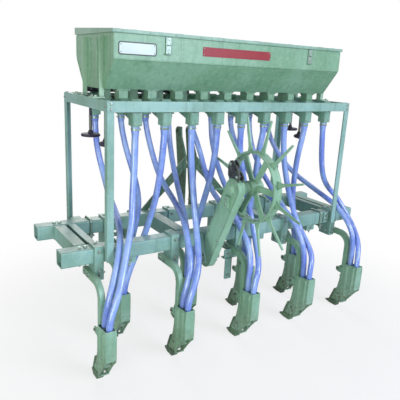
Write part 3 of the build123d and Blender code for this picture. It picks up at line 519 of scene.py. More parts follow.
cad_finishes = {
    frame_green: (
        "rear_toolbar front_toolbar side_members centre_members long_rails end_rails posts "
        "spare_clamp_blocks arm_bracket hitch_plates rear_clamps front_clamps"
    ),
    stand_lit_paint: "hopper_stands",
    sheet_green: "hopper hopper_divider seed_throats fertilizer_throats",
    lid_lit_paint: "lid",
    mast_shade_paint: "mast mast_braces",
    tyne_green: "rear_legs front_legs rear_boots front_boots",
    wheel_green: "ground_wheel wheel_arm chain_case",
    cup_green: "seed_cups fertilizer_cups",
    point_green: "rear_points front_points",
    plated_steel: "hasps hinge_barrels hinge_knuckles hinge_pins hitch_pins pivot_pin wheel_axle",
    dull_steel: "seed_feed_shaft fertilizer_feed_shaft",
    knob_plastic: "rate_adjusters",
}
for finish, names in cad_finishes.items():
    for name in names.split():
        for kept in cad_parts[name].material_slots:
            kept.material = finish

# The hoses' routes in millimetres, with y from the frame's own origin, from left to
# right, without the two points in each spout and the two in each boot's channel
hose_middles = {
    "seed": [
        [(-605, -21, 948), (-613, -27, 834), (-628, -57, 729), (-690, -133, 607), (-757, -215, 467)],
        [(-454, -15, 1053), (-454, 4, 939), (-457, 42, 799), (-468, 72, 703), (-490, 92, 598),
         (-560, 82, 467)],
        [(-298, -19, 1044), (-286, -21, 922), (-273, -31, 782), (-278, -74, 650), (-324, -188, 519),
         (-372, -224, 423)],
        [(-148, -12, 1036), (-146, 26, 878), (-146, 75, 755), (-166, 95, 633), (-195, 86, 475)],
        [(2, -19, 1036), (40, -23, 878), (72, -31, 764), (94, -57, 650), (86, -107, 554), (40, -215, 449)],
        [(141, -8, 1036), (155, 17, 930), (174, 49, 826), (187, 77, 738), (192, 94, 633), (200, 88, 475)],
        [(307, -19, 1044), (326, -23, 930), (369, -31, 782), (424, -59, 616), (442, -107, 537),
         (432, -213, 449)],
        [(443, -4, 1018), (454, 19, 922), (490, 61, 782), (530, 91, 659), (576, 91, 537), (603, 77, 423)],
        [(616, -19, 983), (664, 2, 861), (740, 24, 773), (834, 11, 694), (868, -52, 598), (876, -120, 519),
         (852, -192, 441)],
    ],
    "fertilizer": [
        [(-603, 453, 1000), (-586, 406, 869), (-594, 306, 773), (-620, 152, 721), (-658, 18, 694),
         (-694, -75, 633), (-740, -136, 545), (-787, -182, 449)],
        [(-434, 449, 983), (-409, 387, 843), (-421, 295, 721), (-482, 210, 624), (-549, 140, 528),
         (-596, 118, 441)],
        [(-281, 453, 992), (-263, 393, 861), (-255, 312, 790), (-264, 185, 738), (-290, 52, 694),
         (-313, -22, 659), (-334, -89, 598), (-355, -162, 510), (-385, -182, 423)],
        [(-150, 461, 1000), (-155, 387, 852), (-166, 287, 721), (-179, 206, 624), (-193, 140, 528),
         (-202, 121, 432)],
        [(36, 426, 974), (44, 373, 861), (34, 279, 764), (15, 152, 712), (2, 18, 694), (4, -69, 633),
         (8, -149, 554), (6, -182, 467)],
        [(150, 461, 1000), (157, 387, 852), (169, 287, 721), (183, 206, 624), (196, 140, 528),
         (202, 121, 432)],
        [(306, 466, 1053), (330, 393, 922), (350, 266, 782), (351, 112, 721), (362, 5, 685),
         (374, -75, 633), (381, -149, 554), (393, -182, 467)],
        [(454, 461, 1000), (476, 387, 852), (514, 287, 721), (549, 206, 624), (587, 140, 528),
         (606, 121, 432)],
        [(611, 460, 1036), (649, 413, 930), (715, 326, 808), (780, 172, 721), (778, 45, 685),
         (787, -42, 650), (797, -136, 572), (806, -182, 484)],
    ],
}

# The spouts' y, and the y of the channels in the rear and the front boots
hose_ends = {"seed": (-19, (-230, 70)), "fertilizer": (486, (-182, 118))}
spout_heights, boot_heights = (1158, 1123), (344, 283)


def lay_hoses(side):
    """Nine hoses from the feed cups down to the boots' channels, as one piece."""
    line = bpy.data.curves.new(side + "_hoses", "CURVE")
    line.dimensions = "3D"
    line.bevel_depth = 0.016
    line.bevel_resolution = 7
    line.use_fill_caps = True
    spout_y, boots_y = hose_ends[side]
    for number, middle in enumerate(hose_middles[side], -4):
        spout = [(round(CUP * number), spout_y, z) for z in spout_heights]
        boot = [(round(ROW * number), boots_y[number % 2], z) for z in boot_heights]
        route = [*spout, *middle, *boot]
        spline = line.splines.new("NURBS")
        spline.points.add(len(route) - 1)
        for point, place in zip(spline.points, route):
            point.co = (*[part * MM for part in place], 1)
        spline.order_u = 3
        spline.use_endpoint_u = True
        spline.resolution_u = 10
    line.materials.append(blue_hose)
    hoses = put(side + "_hoses", line)
    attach(hoses, "frame")
    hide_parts(side + "_tubes")


lay_hoses("seed")
lay_hoses("fertilizer")


# Hopper and lid


def lid_top(y):
    """How high the lid's sloping top is at a place along y."""
    return LID_TOP + LID_RISE * (y - LID_BACK) / (LID_FRONT - LID_BACK)


def trim_hopper():
    """Folds, corner seams, swages and lap straps of the hopper's sheet."""
    trim = Work(2, "hopper_seams", sheet_green, 0.8)
    for wall_y in (HOPPER_BACK - 0.6, HOPPER_FRONT + 0.6):
        trim.rod((3 - HOPPER_X, wall_y, HOPPER_KNEE), (HOPPER_X - 3, wall_y, HOPPER_KNEE), 3.2, 10)
    for side in SIDES:
        wall = side * HOPPER_X
        for top_y, floor_y in ((HOPPER_BACK, FLOOR_BACK), (HOPPER_FRONT, FLOOR_FRONT)):
            trim.weld((wall, top_y, HOPPER_KNEE), (wall, top_y, 1572), 3)
            trim.weld((wall, floor_y, HOPPER_FLOOR), (wall, top_y, HOPPER_KNEE), 3)
        trim.weld((wall, FLOOR_BACK, HOPPER_FLOOR), (wall, FLOOR_FRONT, HOPPER_FLOOR), 3)
        for swage_y in (-20, 70):
            swage = [(wall, swage_y, z) for z in (1372, 1378, 1390, 1540, 1552, 1558)]
            trim.swept(swage, [0.8, 4, 6, 6, 4, 0.8], 10)
    for seam_x in (-350, 350):
        for wall_y, out in ((HOPPER_BACK, -1), (HOPPER_FRONT, 1)):
            strap_y = wall_y + out * 1.6
            trim.block((seam_x - 13, wall_y, 1469), (seam_x + 13, strap_y, 1574))
            for z in range(1482, 1570, 21):
                trim.rivet((seam_x, strap_y, z), (0, out, 0), 3.6)


def oblong(x, y, half_x, half_y):
    """An oblong's corners around its middle."""
    (left, right), (near, far) = span(x, half_x), span(y, half_y)
    return [(left, near), (right, near), (right, far), (left, far)]


def line_hopper():
    """Painted shade over the outlets in the hopper's floor, rims round the outlets, and the stirring shafts
    over them.
    """
    # Painted shade: a dark plate in each outlet, standing in for the shade inside it
    outlet_shading = Work(3, "hopper_outlet_shade", opening_shade)
    stirrers = Work(4, "stirring_shafts", dull_steel)
    rims = Work(5, "outlet_rims", sheet_green)
    for cup_x in CUPS:
        for mouth_y in THROATS:
            outlet_shading.plate(oblong(cup_x, mouth_y, 22, 24), "z", 1337.2, 1338.6)
            rims.edging([(x, y, 1338) for x, y in oblong(cup_x, mouth_y, 24, 26)], 2.4, 6, 0.4)
    for shaft_y in THROATS:
        stirrers.rod((-690, shaft_y, STIRRER_Z), (690, shaft_y, STIRRER_Z), 7, 14)
        for number, x in enumerate(range(-640, 650, 64)):
            turn = number * 1.1
            reach = Vector((0, cos(turn), sin(turn))) * 19
            centre = Vector((x, shaft_y, STIRRER_Z))
            stirrers.rod(centre - reach, centre + reach, 3, 8)


def rib_lid():
    """Pressed ribs and rivets of the lid."""
    ribs = Work(6, "lid_ribs", lid_lit_paint, 1.2, "lid")
    rivets = Work(7, "lid_rivets", plated_steel, body="lid")
    # Where the ribs are, half their width, and their outline as y and height over the lid
    rows = (
        (range(-580, 581, 232), 15, ((-186, -1), (-176, 2.4), (200, 2.4), (212, -1))),
        ((-664, 664), 6, ((-196, -1), (-190, 1.8), (232, 1), (238, -1))),
    )
    for places, half, outline in rows:
        for x in places:
            ribs.plate([(y, lid_top(y) + rise) for y, rise in outline], "x", *span(x, half))
    ribs.rod((-704, -223.4, 1576.5), (704, -223.4, 1576.5), 1.8, 8, 0.5)
    for hinge in (-450, 0, 450):
        for x in span(hinge, 23):
            rivets.rivet((x, LID_FRONT, 1597), AHEAD, 4.2)
    for x in range(-660, 670, 132):
        rivets.rivet((x, LID_BACK, 1583), BACK, 3.4)


def rounded(x0, z0, x1, z1, radius):
    """A rectangle's outline with rounded corners."""
    left, right, low, high = x0 + radius, x1 - radius, z0 + radius, z1 - radius
    outline = []
    for quarter, (x, z) in enumerate(((right, high), (left, high), (left, low), (right, low))):
        outline += arc(x, z, radius, quarter * pi / 2, pi / 2, 5)
    return outline


def fix_sign_plates():
    """Two sign plates with nothing on them, riveted to the rear wall."""
    layers = (
        (8, "sign_border", black_enamel, (-676, 1485, -490, 1541, 11), 0, 1.6),
        (9, "white_sign_plate", white_enamel, (-671, 1490, -495, 1536, 8), 1.2, 2.4),
        (10, "red_sign_plate", red_enamel, (-243, 1500, 176, 1543, 4), 0, 2.2),
    )
    for seed, name, enamelled, shape, start, end in layers:
        layer = Work(seed, name, enamelled, 0.4)
        layer.plate(rounded(*shape), "y", HOPPER_BACK - start, HOPPER_BACK - end)
    rivets = Work(11, "sign_rivets", plated_steel)
    for x0, z0, x1, z1, out in ((-664, 1497, -502, 1529, 2.4), (-236, 1507, 169, 1536, 2.2)):
        for x in (x0, x1):
            for z in (z0, z1):
                rivets.rivet((x, HOPPER_BACK - out, z), BACK, 3.2)


def dress_hasps():
    """Staples, rivets and the turned-over tongues of the two hasps."""
    hasp = Work(12, "hasp_staples", plated_steel, 0.4)
    face = HOPPER_BACK - 7
    staple = ((-7, 0), (-7, -9), (-5, -12), (5, -12), (7, -9), (7, 0))
    for x in (-433, 456):
        hasp.plate(rounded(x - 9, 1510, x + 9, 1569, 4), "y", face, face - 2.5)
        hasp.swept([(x + along, face + out, 1538) for along, out in staple], 2.2)
        for z, out in ((1503.5, 0), (1519, 2.5), (1560, 2.5)):
            hasp.rivet((x, face - out, z), BACK, 3.6)
        hasp.rod((x - 15, face - 3, 1499), (x + 15, face - 3, 1499), 3.2, 10)


def bolt_stands():
    """Bolts and welds on the stands that carry the hopper's ends."""
    bolts = Work(13, "stand_bolts", plated_steel)
    seams = Work(14, "stand_welds", stand_lit_paint)
    for side in SIDES:
        wall = side * HOPPER_X
        for middle in (-85, 135):
            for z in (1400, 1478, 1545):
                bolts.bolt((wall + side * 5, middle + 5, z), (side, 0, 0), 7)
            for y in span(middle, 22):
                bolts.bolt((wall + side * 42, y, 1297), UP, 8)
            foot, near = wall + side * 3, middle - 18
            seams.weld((foot, middle - 17, 1297), (foot, middle + 17, 1297), 3.4)
            seams.weld((wall + side * 4, near, 1298.5), (wall + side * 20, near, 1298.5), 3.4)


# Feed cups under the hopper


def dress_cups():
    """Throat flanges, cup faces, bearing covers and shaft collars."""
    flanges = Work(15, "throat_flanges", sheet_green, 0.8)
    covers = Work(17, "cup_covers", cup_green, 0.8)
    collars = Work(18, "shaft_collars", dull_steel)
    bolts = Work(16, "cup_bolts", plated_steel)
    bearing = [(0, 20), (2, 20), (4, 17), (7, 14), (8, 11)]
    housing = [(0, 22), (5, 22), (7, 17), (18, 16), (19, 14)]
    for side, face_y, shaft_y, throat_y in zip(SIDES, CUP_FACES, SPOUTS, THROATS):
        for cup_x in CUPS:
            flanges.block((cup_x - 34, throat_y - 33, 1329), (cup_x + 34, throat_y + 33, 1333.2))
            flanges.block((cup_x - 27, throat_y - 28, 1276), (cup_x + 27, throat_y + 28, 1281))
            for x in span(cup_x, 29):
                for y in span(throat_y, 22):
                    bolts.nut((x, y, 1329), DOWN, 4.6)
            out = face_y + side * 2.4
            covers.block((cup_x - 19, face_y, 1185), (cup_x + 19, out, 1240))
            for z in (1191, 1234):
                for x in span(cup_x, 14):
                    bolts.bolt((x, out, z), (0, side, 0), 3.8)
            for end in SIDES:
                cheek, way = cup_x + end * 23, (end, 0, 0)
                covers.turned((cheek, shaft_y, SHAFT_Z), way, bearing, 22)
                for turn in (0.5, 2.6, 4.7):
                    y, z = shaft_y + 16.5 * cos(turn), SHAFT_Z + 16.5 * sin(turn)
                    bolts.bolt((cheek + end * 2, y, z), way, 3)
            collars.turned((cup_x + 44, shaft_y, SHAFT_Z), RIGHT, [(0, 14), (1, 15), (13, 15), (14, 14)], 18)
            bolts.bolt((cup_x + 51, shaft_y, 1283), UP, 3.4)
            covers.turned((cup_x, shaft_y, 1180), DOWN, [(-1, 22), (3, 22), (6, 19)], 20)
        for end in SIDES:
            covers.turned((end * 732.5, shaft_y, SHAFT_Z), (-end, 0, 0), housing, 24)
            for z in (1252, 1284):
                bolts.bolt((end * 727.5, shaft_y, z), (-end, 0, 0), 4.5)


def cover_drive():
    """A dark cover on the left half's front cups: a guess, what is in the dark gaps is not known."""
    channel = Work(45, "drive_cover", knob_plastic, 0.8)
    screws = Work(46, "drive_cover_screws", plated_steel)
    left, right, rear, front, low, top = -652, -36, 238, 288, 1299, 1330
    channel.block((left, rear, low), (right, rear + 2, top))
    channel.block((left, front - 2, low), (right, front, top))
    channel.block((left, rear, top - 2), (right, front, top))
    channel.block((left - 2, rear, low), (left, front, top))
    channel.block((right, rear, low), (right + 2, front, top))
    for x in range(-600, -50, 110):
        channel.rod((x - 40, 263, 1330.6), (x + 40, 263, 1330.6), 2.2, 8)
    for x in range(-630, -50, 94):
        screws.bolt((x, rear, 1314), BACK, 3.8)
        screws.bolt((x, front, 1314), AHEAD, 3.8)


def clip_hoses():
    """Hose ends pushed over the spouts, with their clips."""
    cuffs = Work(19, "hose_cuffs", blue_hose)
    clips = Work(20, "hose_clips", plated_steel)
    cuff = [(0, 17.6), (0.8, 19.2), (20, 19), (30, 17.6), (44, 16.3), (45, 15.6)]
    band = [(0, 19.3), (0.6, 20.2), (9.4, 20.2), (10, 19.3)]
    for cup_x in CUPS:
        for spout_y in SPOUTS:
            cuffs.turned((cup_x, spout_y, 1176), DOWN, cuff, 24)
            clips.turned((cup_x, spout_y, 1169), DOWN, band, 28)
            turn = clips.random.uniform(-2.6, -0.6) if spout_y < 0 else clips.random.uniform(0.6, 2.6)
            out = Vector((cos(turn), sin(turn), 0))
            along = Vector((-out.y, out.x, 0))
            centre = Vector((cup_x, spout_y, 1164)) + out * 22
            clips.rod(centre - along * 8, centre + along * 7, 3.6, 10)
            clips.bolt(centre + along * 7, along, 3.6)


def dress_adjusters():
    """Threads, lock nuts and grip rims of the rate adjusters' handwheels."""
    rims = Work(21, "handwheel_rims", knob_plastic)
    threads = Work(22, "adjuster_threads", dull_steel)
    screw = [(0, 7.6)]
    for number in range(24):
        screw += [(number * 3 + 1, 8.2), (number * 3 + 2.5, 7.3)]
    for side in SIDES:
        for x, y, foot, wheel, thick in ((680, 120, 1098, 45, 14), (648, 0, 1072, 24, 22)):
            x = side * x
            grip = []
            for number in range(40):
                turn = 2 * pi * number / 40
                reach = wheel - 2.5 + 1.2 * cos(turn * 10)
                grip.append((x + reach * cos(turn), y + reach * sin(turn), foot - thick / 2))
            rims.swept(grip, thick * 0.46, 10, True)
            rims.turned((x, y, foot), UP, [(0, 15), (6, 14), (16, 10), (18, 8)], 20)
            threads.turned((x, y, foot + 20), UP, screw, 14)
            threads.nut((x, y, RAIL_LOW), DOWN, 15, 0)
            threads.bolt((x, y, foot - thick), DOWN, 7)


# Raised frame and toolbars


def strap_bar(work, x, back, front):
    """A U-bolt over a toolbar with its plate and two nuts underneath."""
    rod, bend = 5.5, 12
    near, far, over = back - rod - 0.4, front + rod + 0.4, BAR_TOP + rod + 0.4
    foot, knee = BAR_LOW - 22, BAR_TOP - bend + rod + 0.4
    turns = [pi / 2 * step / 6 for step in range(1, 6)]
    turns = [(bend * (1 - cos(turn)), bend * (1 - sin(turn))) for turn in turns]
    path = [(x, near, foot), (x, near, knee)]
    path += [(x, near + in_y, over - down) for in_y, down in turns]
    path += [(x, near + bend, over), (x, far - bend, over)]
    path += [(x, far - in_y, over - down) for down, in_y in turns]
    path += [(x, far, knee), (x, far, foot)]
    work.swept(path, rod, 12)
    work.block((x - 14, back - 18, BAR_LOW - 8), (x + 14, front + 18, BAR_LOW - 0.2))
    for y in (near, far):
        work.nut((x, y, BAR_LOW - 8), DOWN, 11, 3)


def bolt_frame():
    """Bolts at the frame's corners, its cleats and its U-bolts on the toolbars."""
    bolts = Work(23, "frame_bolts", plated_steel)
    straps = Work(24, "bar_straps", plated_steel, 0.8)
    seams = Work(25, "frame_welds", frame_green)
    for side in SIDES:
        end, edge, corner = side * END, side * (END - 1), side * (END - 20)
        for face_y, out in ((REAR_RAIL_FACE, -1), (FRONT_RAIL_FACE, 1)):
            inner = face_y - out * 20
            for z in (1256, 1279):
                bolts.bolt((side * 735, face_y, z), (0, out, 0), 7.5)
            bolts.bolt((end, face_y - out * 17, 1268), (side, 0, 0), 7.5)
            seams.weld((edge, inner, 1246), (edge, inner, 1289), 3.6)
            seams.weld((end, face_y - out * 3, RAIL_LOW), (end, face_y - out * 30, RAIL_LOW), 3.4)
            seams.weld((side * (END - 3), face_y, RAIL_LOW), (side * (END - 30), face_y, RAIL_LOW), 3.4)
            seams.weld((corner, inner, RAIL_TOP), (edge, inner, RAIL_TOP), 3.4)
        for cleat_y, out in ((-250.5, -1), (278.5, 1)):
            for z in (574, 600):
                bolts.bolt((side * 706, cleat_y, z), (0, out, 0), 9)
            seams.weld((side * 722, cleat_y + out, 558), (side * 722, cleat_y + out, 614), 3.6)
        for bar in ((FRONT_BAR_BACK, FRONT_BAR_FACE), (REAR_BAR_BACK, REAR_BAR_FRONT)):
            strap_bar(straps, side * 668, *bar)
        for x in (829, 856):
            for y in (-BAR_Y, BAR_Y):
                bolts.bolt((side * x, y, BAR_TOP), UP, 10)
                bolts.nut((side * x, y, BAR_LOW), DOWN, 10)
        for centre, wide in ((840.5, 55), (777.5, 35), (290, 60)):
            near, far = span(side * centre, wide / 2)
            for y in (REAR_BAR_FRONT + 1, FRONT_BAR_BACK - 1):
                seams.weld((near, y, BAR_TOP), (far, y, BAR_TOP), 4.2)
                for x in (near, far):
                    seams.weld((x, y, BAR_LOW + 3), (x, y, BAR_TOP - 2), 3.8)
    for x in (-3 * ROW, ROW, 3 * ROW):
        for y in (-214, -186):
            bolts.nut((x, y, 508), DOWN, 9, 8)
        bolts.bolt((x, -223, 525), BACK, 8)


def cap_bars():
    """Painted shade: dark plates inside the open toolbar ends."""
    bar_end_shading = Work(26, "toolbar_end_shade", opening_shade)
    for side in SIDES:
        for y in (-BAR_Y, BAR_Y):
            bar_end_shading.block((side * (BAR_END - 90), y - 31, 548.5), (side * (BAR_END - 88), y + 31, 610.5))


# Tynes, boots and clamps


def bolt_clamps():
    """Nuts on the clamps, and the bolts through the tyne arms."""
    nuts = Work(27, "clamp_nuts", plated_steel)
    seams = Work(28, "clamp_welds", frame_green)
    rows = ((REAR_TYNES, -BAR_Y, -247.5, 486, 460), (FRONT_TYNES, BAR_Y, 152.5, 431, 405))
    for tynes, bar_y, back, arm_z, low in rows:
        for tyne in tynes:
            inner = -1 if tyne > 0 else 1
            middle = tyne + inner * 34.5
            for z in (602, 508, low + 22):
                nuts.nut((middle, back, z), BACK, 9, 7)
            for y in (bar_y - 22, bar_y + 18):
                nuts.bolt((tyne - inner * 12.5, y, arm_z), (-inner, 0, 0), 10)
                nuts.nut((middle + inner * 22, y, arm_z), (inner, 0, 0), 10)
            nuts.bolt((middle, bar_y + 8, 627), UP, 9)
            seams.weld((middle - 20, back + 1, 542), (middle + 20, back + 1, 542), 3.6)
            arm, seam_z = tyne + inner * 12.5, arm_z + 16
            seams.weld((arm, bar_y - 38, seam_z), (arm, bar_y + 34, seam_z), 3.6)


def dress_tynes():
    """Pressed channels, rims, side plates and bolts of the boots and legs."""
    channels = Work(29, "boot_channels", tyne_green)
    plates = Work(30, "boot_side_plates", tyne_green, 0.8)
    bolts = Work(31, "tyne_bolts", dull_steel)
    seams = Work(32, "boot_welds", tyne_green)
    for tynes, leg in ((REAR_TYNES, -345), (FRONT_TYNES, -45)):
        back = leg - 32
        rear = back - 98
        skirt = [(1, 44), (-12, 50), (-30, 74), (-50, 102), (-74, 132), (-97, 154), (-97, 182), (1, 134)]
        skirt = [(back + y, z) for y, z in skirt]
        bracket = [(leg + 26, 236), (leg + 38, 246), (leg + 38, 262), (leg + 26, 270)]
        bracket = [(back + 1, 232), *bracket, (back + 1, 274)]
        for tyne in tynes:
            for y, low, high in ((back - 25.2, 88, 300), (back - 72.8, 140, 306)):
                for x in span(tyne, 20):
                    line = [(x, y, z) for z in (low, low + 6, low + 16, high - 14, high - 4, high)]
                    channels.swept(line, [5.5, 9, 12.5, 12.5, 10, 6], 14)
            for side in SIDES:
                plates.plate(skirt, "x", *sorted((tyne + side * 23, tyne + side * 26)))
                plates.block((tyne + side * 12, back - 2, 44), (tyne + side * 26, back + 1, 64))
            plates.block((tyne - 26, back - 14, 44), (tyne + 26, back + 1, 50))
            left, right = span(tyne, 24)
            near, far = (back - 2, 305), (rear + 1, 313.6)
            plates.edging([(left, *near), (right, *near), (right, *far), (left, *far)], 2.6, 8, 0.5)
            for x in span(tyne, 25):
                seams.weld((x, back - 1, 90), (x, back - 1, 300), 3.2)
                seams.weld((x, rear + 1, 166), (x, rear + 1, 308), 2.4)
            for side in SIDES:
                plates.plate(bracket, "x", *sorted((tyne + side * 12.5, tyne + side * 16.5)))
            bolts.bolt((tyne - 16.5, leg + 24, 254), LEFT, 8)
            bolts.nut((tyne + 16.5, leg + 24, 254), RIGHT, 8)
            bolts.rod((tyne - 14, leg + 24, 254), (tyne + 14, leg + 24, 254), 5, 10)
            bolts.nut((tyne, leg, 206), AHEAD, 8, 6)
            for y, z in ((leg - 16, 66), (leg - 2, 88)):
                for side in SIDES:
                    bolts.rivet((tyne + side * 12.5, y, z), (side, 0, 0), 6.5)
            seams.weld((tyne - 11, leg + 1, 36), (tyne + 11, leg + 1, 36), 3)


def hang_stop():
    """The angle that hangs behind the middle tyne, with its gusset and bolts."""
    stop = Work(33, "wheel_stop", frame_green, 1)
    bolts = Work(34, "wheel_stop_bolts", plated_steel)
    back, front = -253.5, -247.5
    stop.plate([(-62, 446), (48, 446), (48, 495), (-62, 495)], "y", front, back)
    stop.plate([(-62, 442), (48, 442), (48, 448), (-62, 448)], "y", back, -222)
    stop.plate([(-53, 324), (-47, 320), (-15, 320), (-9, 324), (-9, 448), (-53, 448)], "y", back, front)
    stop.plate([(back, 320), (-232, 336), (-226, 448), (back, 448)], "x", -14, -9)
    for x, z in ((-40, 472), (34, 472), (-31, 345)):
        bolts.bolt((x, back, z), BACK, 9)


# Wheel arm, chain case and ground wheel


def along_case(share, off=0):
    """A place on the line from the pivot to the hub, and how far off it."""
    run = Vector((0, HUB_Y - PIVOT_Y, HUB_Z - PIVOT_Z))
    side = Vector((0, run.z, -run.y)).normalized()
    return Vector((0, PIVOT_Y, PIVOT_Z)) + run * share + side * off


def slot_outline(radius, steps=14):
    """The chain case's rounded outline at a given half width."""
    lean = atan2(HUB_Z - PIVOT_Z, HUB_Y - PIVOT_Y)
    outline = arc(HUB_Y, HUB_Z, radius, lean - pi / 2, pi, steps)
    return outline + arc(PIVOT_Y, PIVOT_Z, radius, lean + pi / 2, pi, steps)


def dress_case():
    """Cover, welt, bearing housings, latch and brackets of the chain case."""
    case = Work(35, "case_cover", wheel_green, 0.8, "wheel_arm")
    latch = Work(37, "lift_latch", dark_latch, 1, "wheel_arm")
    bolts = Work(36, "case_bolts", plated_steel, body="wheel_arm")
    nuts = Work(38, "pivot_nuts", plated_steel)
    hub = (HUB_Y, HUB_Z)
    case.plate(slot_outline(45), "x", -208, CASE_FACE)
    for x, radius in ((-209, 50), (-173, 50.5)):
        case.swept([(x, *point) for point in slot_outline(radius)], 2.6, loop=True)
    for share in (0.12, 0.34, 0.56, 0.78):
        for off in (-39, 39):
            bolts.bolt((CASE_FACE, *along_case(share, off).yz), LEFT, 5.5)
    ends = slot_outline(39, 4)
    for y, z in ends[1:4] + ends[6:9]:
        bolts.bolt((CASE_FACE, y, z), LEFT, 5.5)
    case.turned((CASE_FACE, *hub), LEFT, [(0, 27), (3, 27), (5, 22), (13, 21), (15, 17)], 28)
    case.turned((CASE_FACE, PIVOT_Y, PIVOT_Z), LEFT, [(0, 26), (1.4, 26), (1.8, 24)], 28)
    housing = [(0, 36), (7, 36), (9, 33), (12, 28), (30, 26), (36, 26), (38, 23)]
    case.turned((-157, *hub), RIGHT, housing, 32)
    for y, z in around(HUB_Y, HUB_Z, 31, 4, pi / 4):
        bolts.bolt((-150, y, z), RIGHT, 5.5)
    middle = along_case(0.86).y
    case.block((-226, middle - 22, 812), (CASE_FACE, middle + 10, 866))
    for z in (826, 852):
        bolts.bolt((-226, middle - 6, z), LEFT, 6)
    top, low = (-446, 1020), (-500, 966)
    for start in (-206, -180):
        latch.plate([
            (-512, 936), (-446, 944), (-430, 966), (-428, 1006), (-440, 1034), (-462, 1040), (-478, 1022),
            (-474, 996), (-506, 984), (-520, 962),
        ], "x", start, start + 6)
    for end, radius in ((top, 7), (low, 6)):
        latch.rod((-206, *end), (-174, *end), radius, 14)
    latch.swept([(-190, *top), (-190, -470, 1012), (-190, -492, 990), (-190, *low)], 6.5, 10)
    bolts.nut((-174, *top), RIGHT, 9)
    bolts.bolt((-206, *top), LEFT, 9)
    bolts.bolt((-206, *low), LEFT, 8)
    nuts.nut((-219, PIVOT_Y, PIVOT_Z), LEFT, 22, 0)
    nuts.nut((-146, PIVOT_Y, PIVOT_Z), RIGHT, 22, 0)


def spoke(degrees):
    """The way out from the hub at an angle, and the way round the wheel there."""
    turn = radians(degrees)
    return Vector((0, cos(turn), sin(turn))), Vector((0, -sin(turn), cos(turn)))


def dress_wheel():
    """Hub rings, spike roots and welds of the ground wheel."""
    rings = Work(39, "wheel_rings", wheel_green, body="ground_wheel")
    nuts = Work(40, "wheel_nuts", plated_steel, body="ground_wheel")
    centre = Vector((WHEEL_X, HUB_Y, HUB_Z))
    for end in SIDES:
        flange = [(-4, 30), (-1, 30), (1, 26), (3, 22)]
        rings.turned((WHEEL_X + end * 34, HUB_Y, HUB_Z), (end, 0, 0), flange, 28)
        rings.hoop(WHEEL_X + end * 21.5, HUB_Y, HUB_Z, 173.5, 2.6, 72)
    for number in range(12):
        out, along = spoke(15 + 30 * number)
        for x in (-5, 5):
            start = centre + out * 176 + Vector((x, 0, 0))
            rings.weld(start - along * 10, start + along * 10, 2.8)
        root = ((175, -20), (175, 20), (206, 9), (206, -9))
        root = [(centre + out * reach + along * half).yz for reach, half in root]
        rings.plate(root, "x", -82.2, -77.8)
        for x in (12, -12):
            nuts.nut(centre + out * 167.5 + Vector((x, 0, 0)), -out, 7, 3)
    for number in range(6):
        out, along = spoke(60 * number)
        for x in (-6, 6):
            for reach in (35, 166):
                start = centre + out * reach + Vector((x, 0, 0))
                rings.weld(start - along * 15, start + along * 15, 3)
    nuts.turned((-46, HUB_Y, HUB_Z), RIGHT, [(0, 19), (3, 19), (4, 16)], 20)


# Hitch


def dress_hitch():
    """Eye bosses, bolts and welds of the mast, its braces, the hitch plates and the arm's bracket."""
    bosses = Work(41, "eye_bosses", mast_shade_paint)
    bolts = Work(42, "hitch_bolts", plated_steel)
    seams = Work(43, "hitch_welds", mast_shade_paint)
    cheeks = Work(44, "bracket_welds", frame_green)
    face = FRONT_BAR_FACE
    # Two ends and a width for each weld, with x outwards and y from the bar's face
    beads = (
        ((42, 1, 546), (42, 1, 615), 4.4), ((43, 10, 842), (43, 10, 916), 3.8),
        ((286, 10, 617), (330, 10, 617), 3.8), ((390.5, 1, 546), (390.5, 1, 614), 4.2),
        ((406.5, 1, 546), (406.5, 1, 614), 4.2), ((392, 2, 617), (405, 30, 617), 3.6),
        ((30, 30, 878), (30, 30, 842), 2),
    )
    for side in SIDES:
        for x in (43, 29):
            bosses.hoop(side * x, 337.5, 1065, 20, 4, 36)
        bosses.hoop(side * 407.5, 337.5, 455, 21, 3.4, 30)
        for z in (560, 598, 640):
            bolts.bolt((side * 42, face + 40, z), (side, 0, 0), 9, 12)
        for x, z in ((308, 572), (308, 604), (62, 876)):
            bolts.bolt((side * x, face + 10, z), AHEAD, 10)
        for (x0, y0, z0), (x1, y1, z1), size in beads:
            seams.weld((side * x0, face + y0, z0), (side * x1, face + y1, z1), size)
    back = REAR_BAR_BACK
    for x in (-216, -149):
        for edge in span(x, 6):
            cheeks.weld((edge, back - 1, 545), (edge, back - 1, 606), 3.8)
        cheeks.weld((x - 4, back - 2, 609), (x + 4, back - 20, 609), 3.4)


trim_hopper()
line_hopper()
rib_lid()
fix_sign_plates()
dress_hasps()
bolt_stands()
dress_cups()
cover_drive()
clip_hoses()
dress_adjusters()
bolt_frame()
cap_bars()
bolt_clamps()
dress_tynes()
hang_stop()
dress_case()
dress_wheel()
dress_hitch()
for work in Work.under_way:
    work.done()

# Camera, lamps, floor and backdrop


def set_camera():
    """The camera where the photograph was taken from."""
    yaw, pitch, roll = (radians(angle) for angle in (-33.2078, -15.2477, 2.9936))
    focal_pixels, frame_pixels, sensor = 483.259, 400, 36
    ahead = Vector((-sin(yaw) * cos(pitch), cos(yaw) * cos(pitch), sin(pitch)))
    right = Vector((cos(yaw), sin(yaw), 0))
    up = right.cross(ahead)
    rolled_right = right * cos(roll) + up * sin(roll)
    rolled_up = up * cos(roll) - right * sin(roll)
    lens = bpy.data.cameras.new("camera")
    lens.sensor_width = sensor
    lens.lens = sensor * focal_pixels / frame_pixels
    lens.clip_end = 100
    camera = put("camera", lens)
    turned = Matrix((rolled_right, rolled_up, -ahead)).transposed().to_4x4()
    camera.matrix_world = Matrix.Translation((-1.54224, -2.02235, 1.44535)) @ turned
    bpy.context.scene.camera = camera


def set_lamp(name, place, aim, size, watts, colour):
    """A square soft lamp aimed at a point."""
    glow = bpy.data.lights.new(name, "AREA")
    glow.size = size
    glow.energy = watts
    glow.color = colour
    lamp = put(name, glow)
    lamp.location = place
    lamp.rotation_mode = "QUATERNION"
    lamp.rotation_quaternion = (Vector(aim) - Vector(place)).to_track_quat("-Z", "Y")


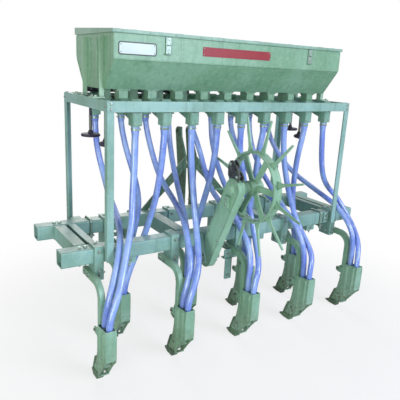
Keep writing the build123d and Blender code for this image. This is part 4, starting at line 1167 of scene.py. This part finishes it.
def set_floor():
    """A plain pale floor that fades to white away from the drill."""
    paving = new_finish("pale_floor")
    place = paving.place()
    speckle = paving.cloud(place, 60)
    colour = paving.blend(paving.between(speckle, 0.3, 0.7), (252, 249, 246), (255, 252, 250))
    seen = paving.node("LightPath", output="Is Camera Ray")
    colour = paving.blend(seen, (186, 186, 180), colour)
    shader = paving.node("BsdfPrincipled", {"Base Color": colour, "Roughness": 0.9})
    white = paving.node("Emission", {"Color": (1, 1, 1, 1), "Strength": 1})
    away = paving.node("VectorMath", {0: place}, "Value", operation="LENGTH")
    share = (0.72 + 0.28 * paving.between(away, 0.8, 2.1)) * seen
    paving.node("OutputMaterial", {"Surface": paving.node("MixShader", {0: share, 1: shader, 2: white})})
    mesh = bpy.data.meshes.new("floor")
    ground = bmesh.new()
    bmesh.ops.create_circle(ground, cap_ends=True, segments=64, radius=30)
    ground.to_mesh(mesh)
    ground.free()
    mesh.materials.append(paving.owner)
    put("floor", mesh)


def set_backdrop():
    """White all round, seen directly and in reflections, and soft light on the drill."""
    world = bpy.data.worlds.new("studio")
    bpy.context.scene.world = world
    sky = Finish(world)
    soft = sky.node("Background", {"Color": (0.9, 0.96, 1, 1), "Strength": 0.22})
    white = sky.node("Background", {"Color": (1, 1, 1, 1), "Strength": 1})
    seen = sky.node("LightPath", output="Is Camera Ray")
    for ray in ("Is Glossy Ray", "Is Transmission Ray"):
        seen = sky.node("Math", {0: seen, 1: sky.node("LightPath", output=ray)}, operation="MAXIMUM")
    sky.node("OutputWorld", {"Surface": sky.node("MixShader", {0: seen, 1: soft, 2: white})})


bpy.context.scene.view_settings.view_transform = "Standard"
set_camera()
set_floor()
set_backdrop()
set_lamp("key", (1.2, -4.4, 2.5), (0, 0, 0.8), 2.6, 165, (0.87, 0.95, 1.16))
set_lamp("left", (-4, -2.4, 0.9), (0, 0, 0.4), 2.4, 112, (0.94, 1, 0.95))
set_lamp("front", (1, 4.4, 2.6), (0, 0, 0.8), 2.6, 74, (1, 1, 0.98))
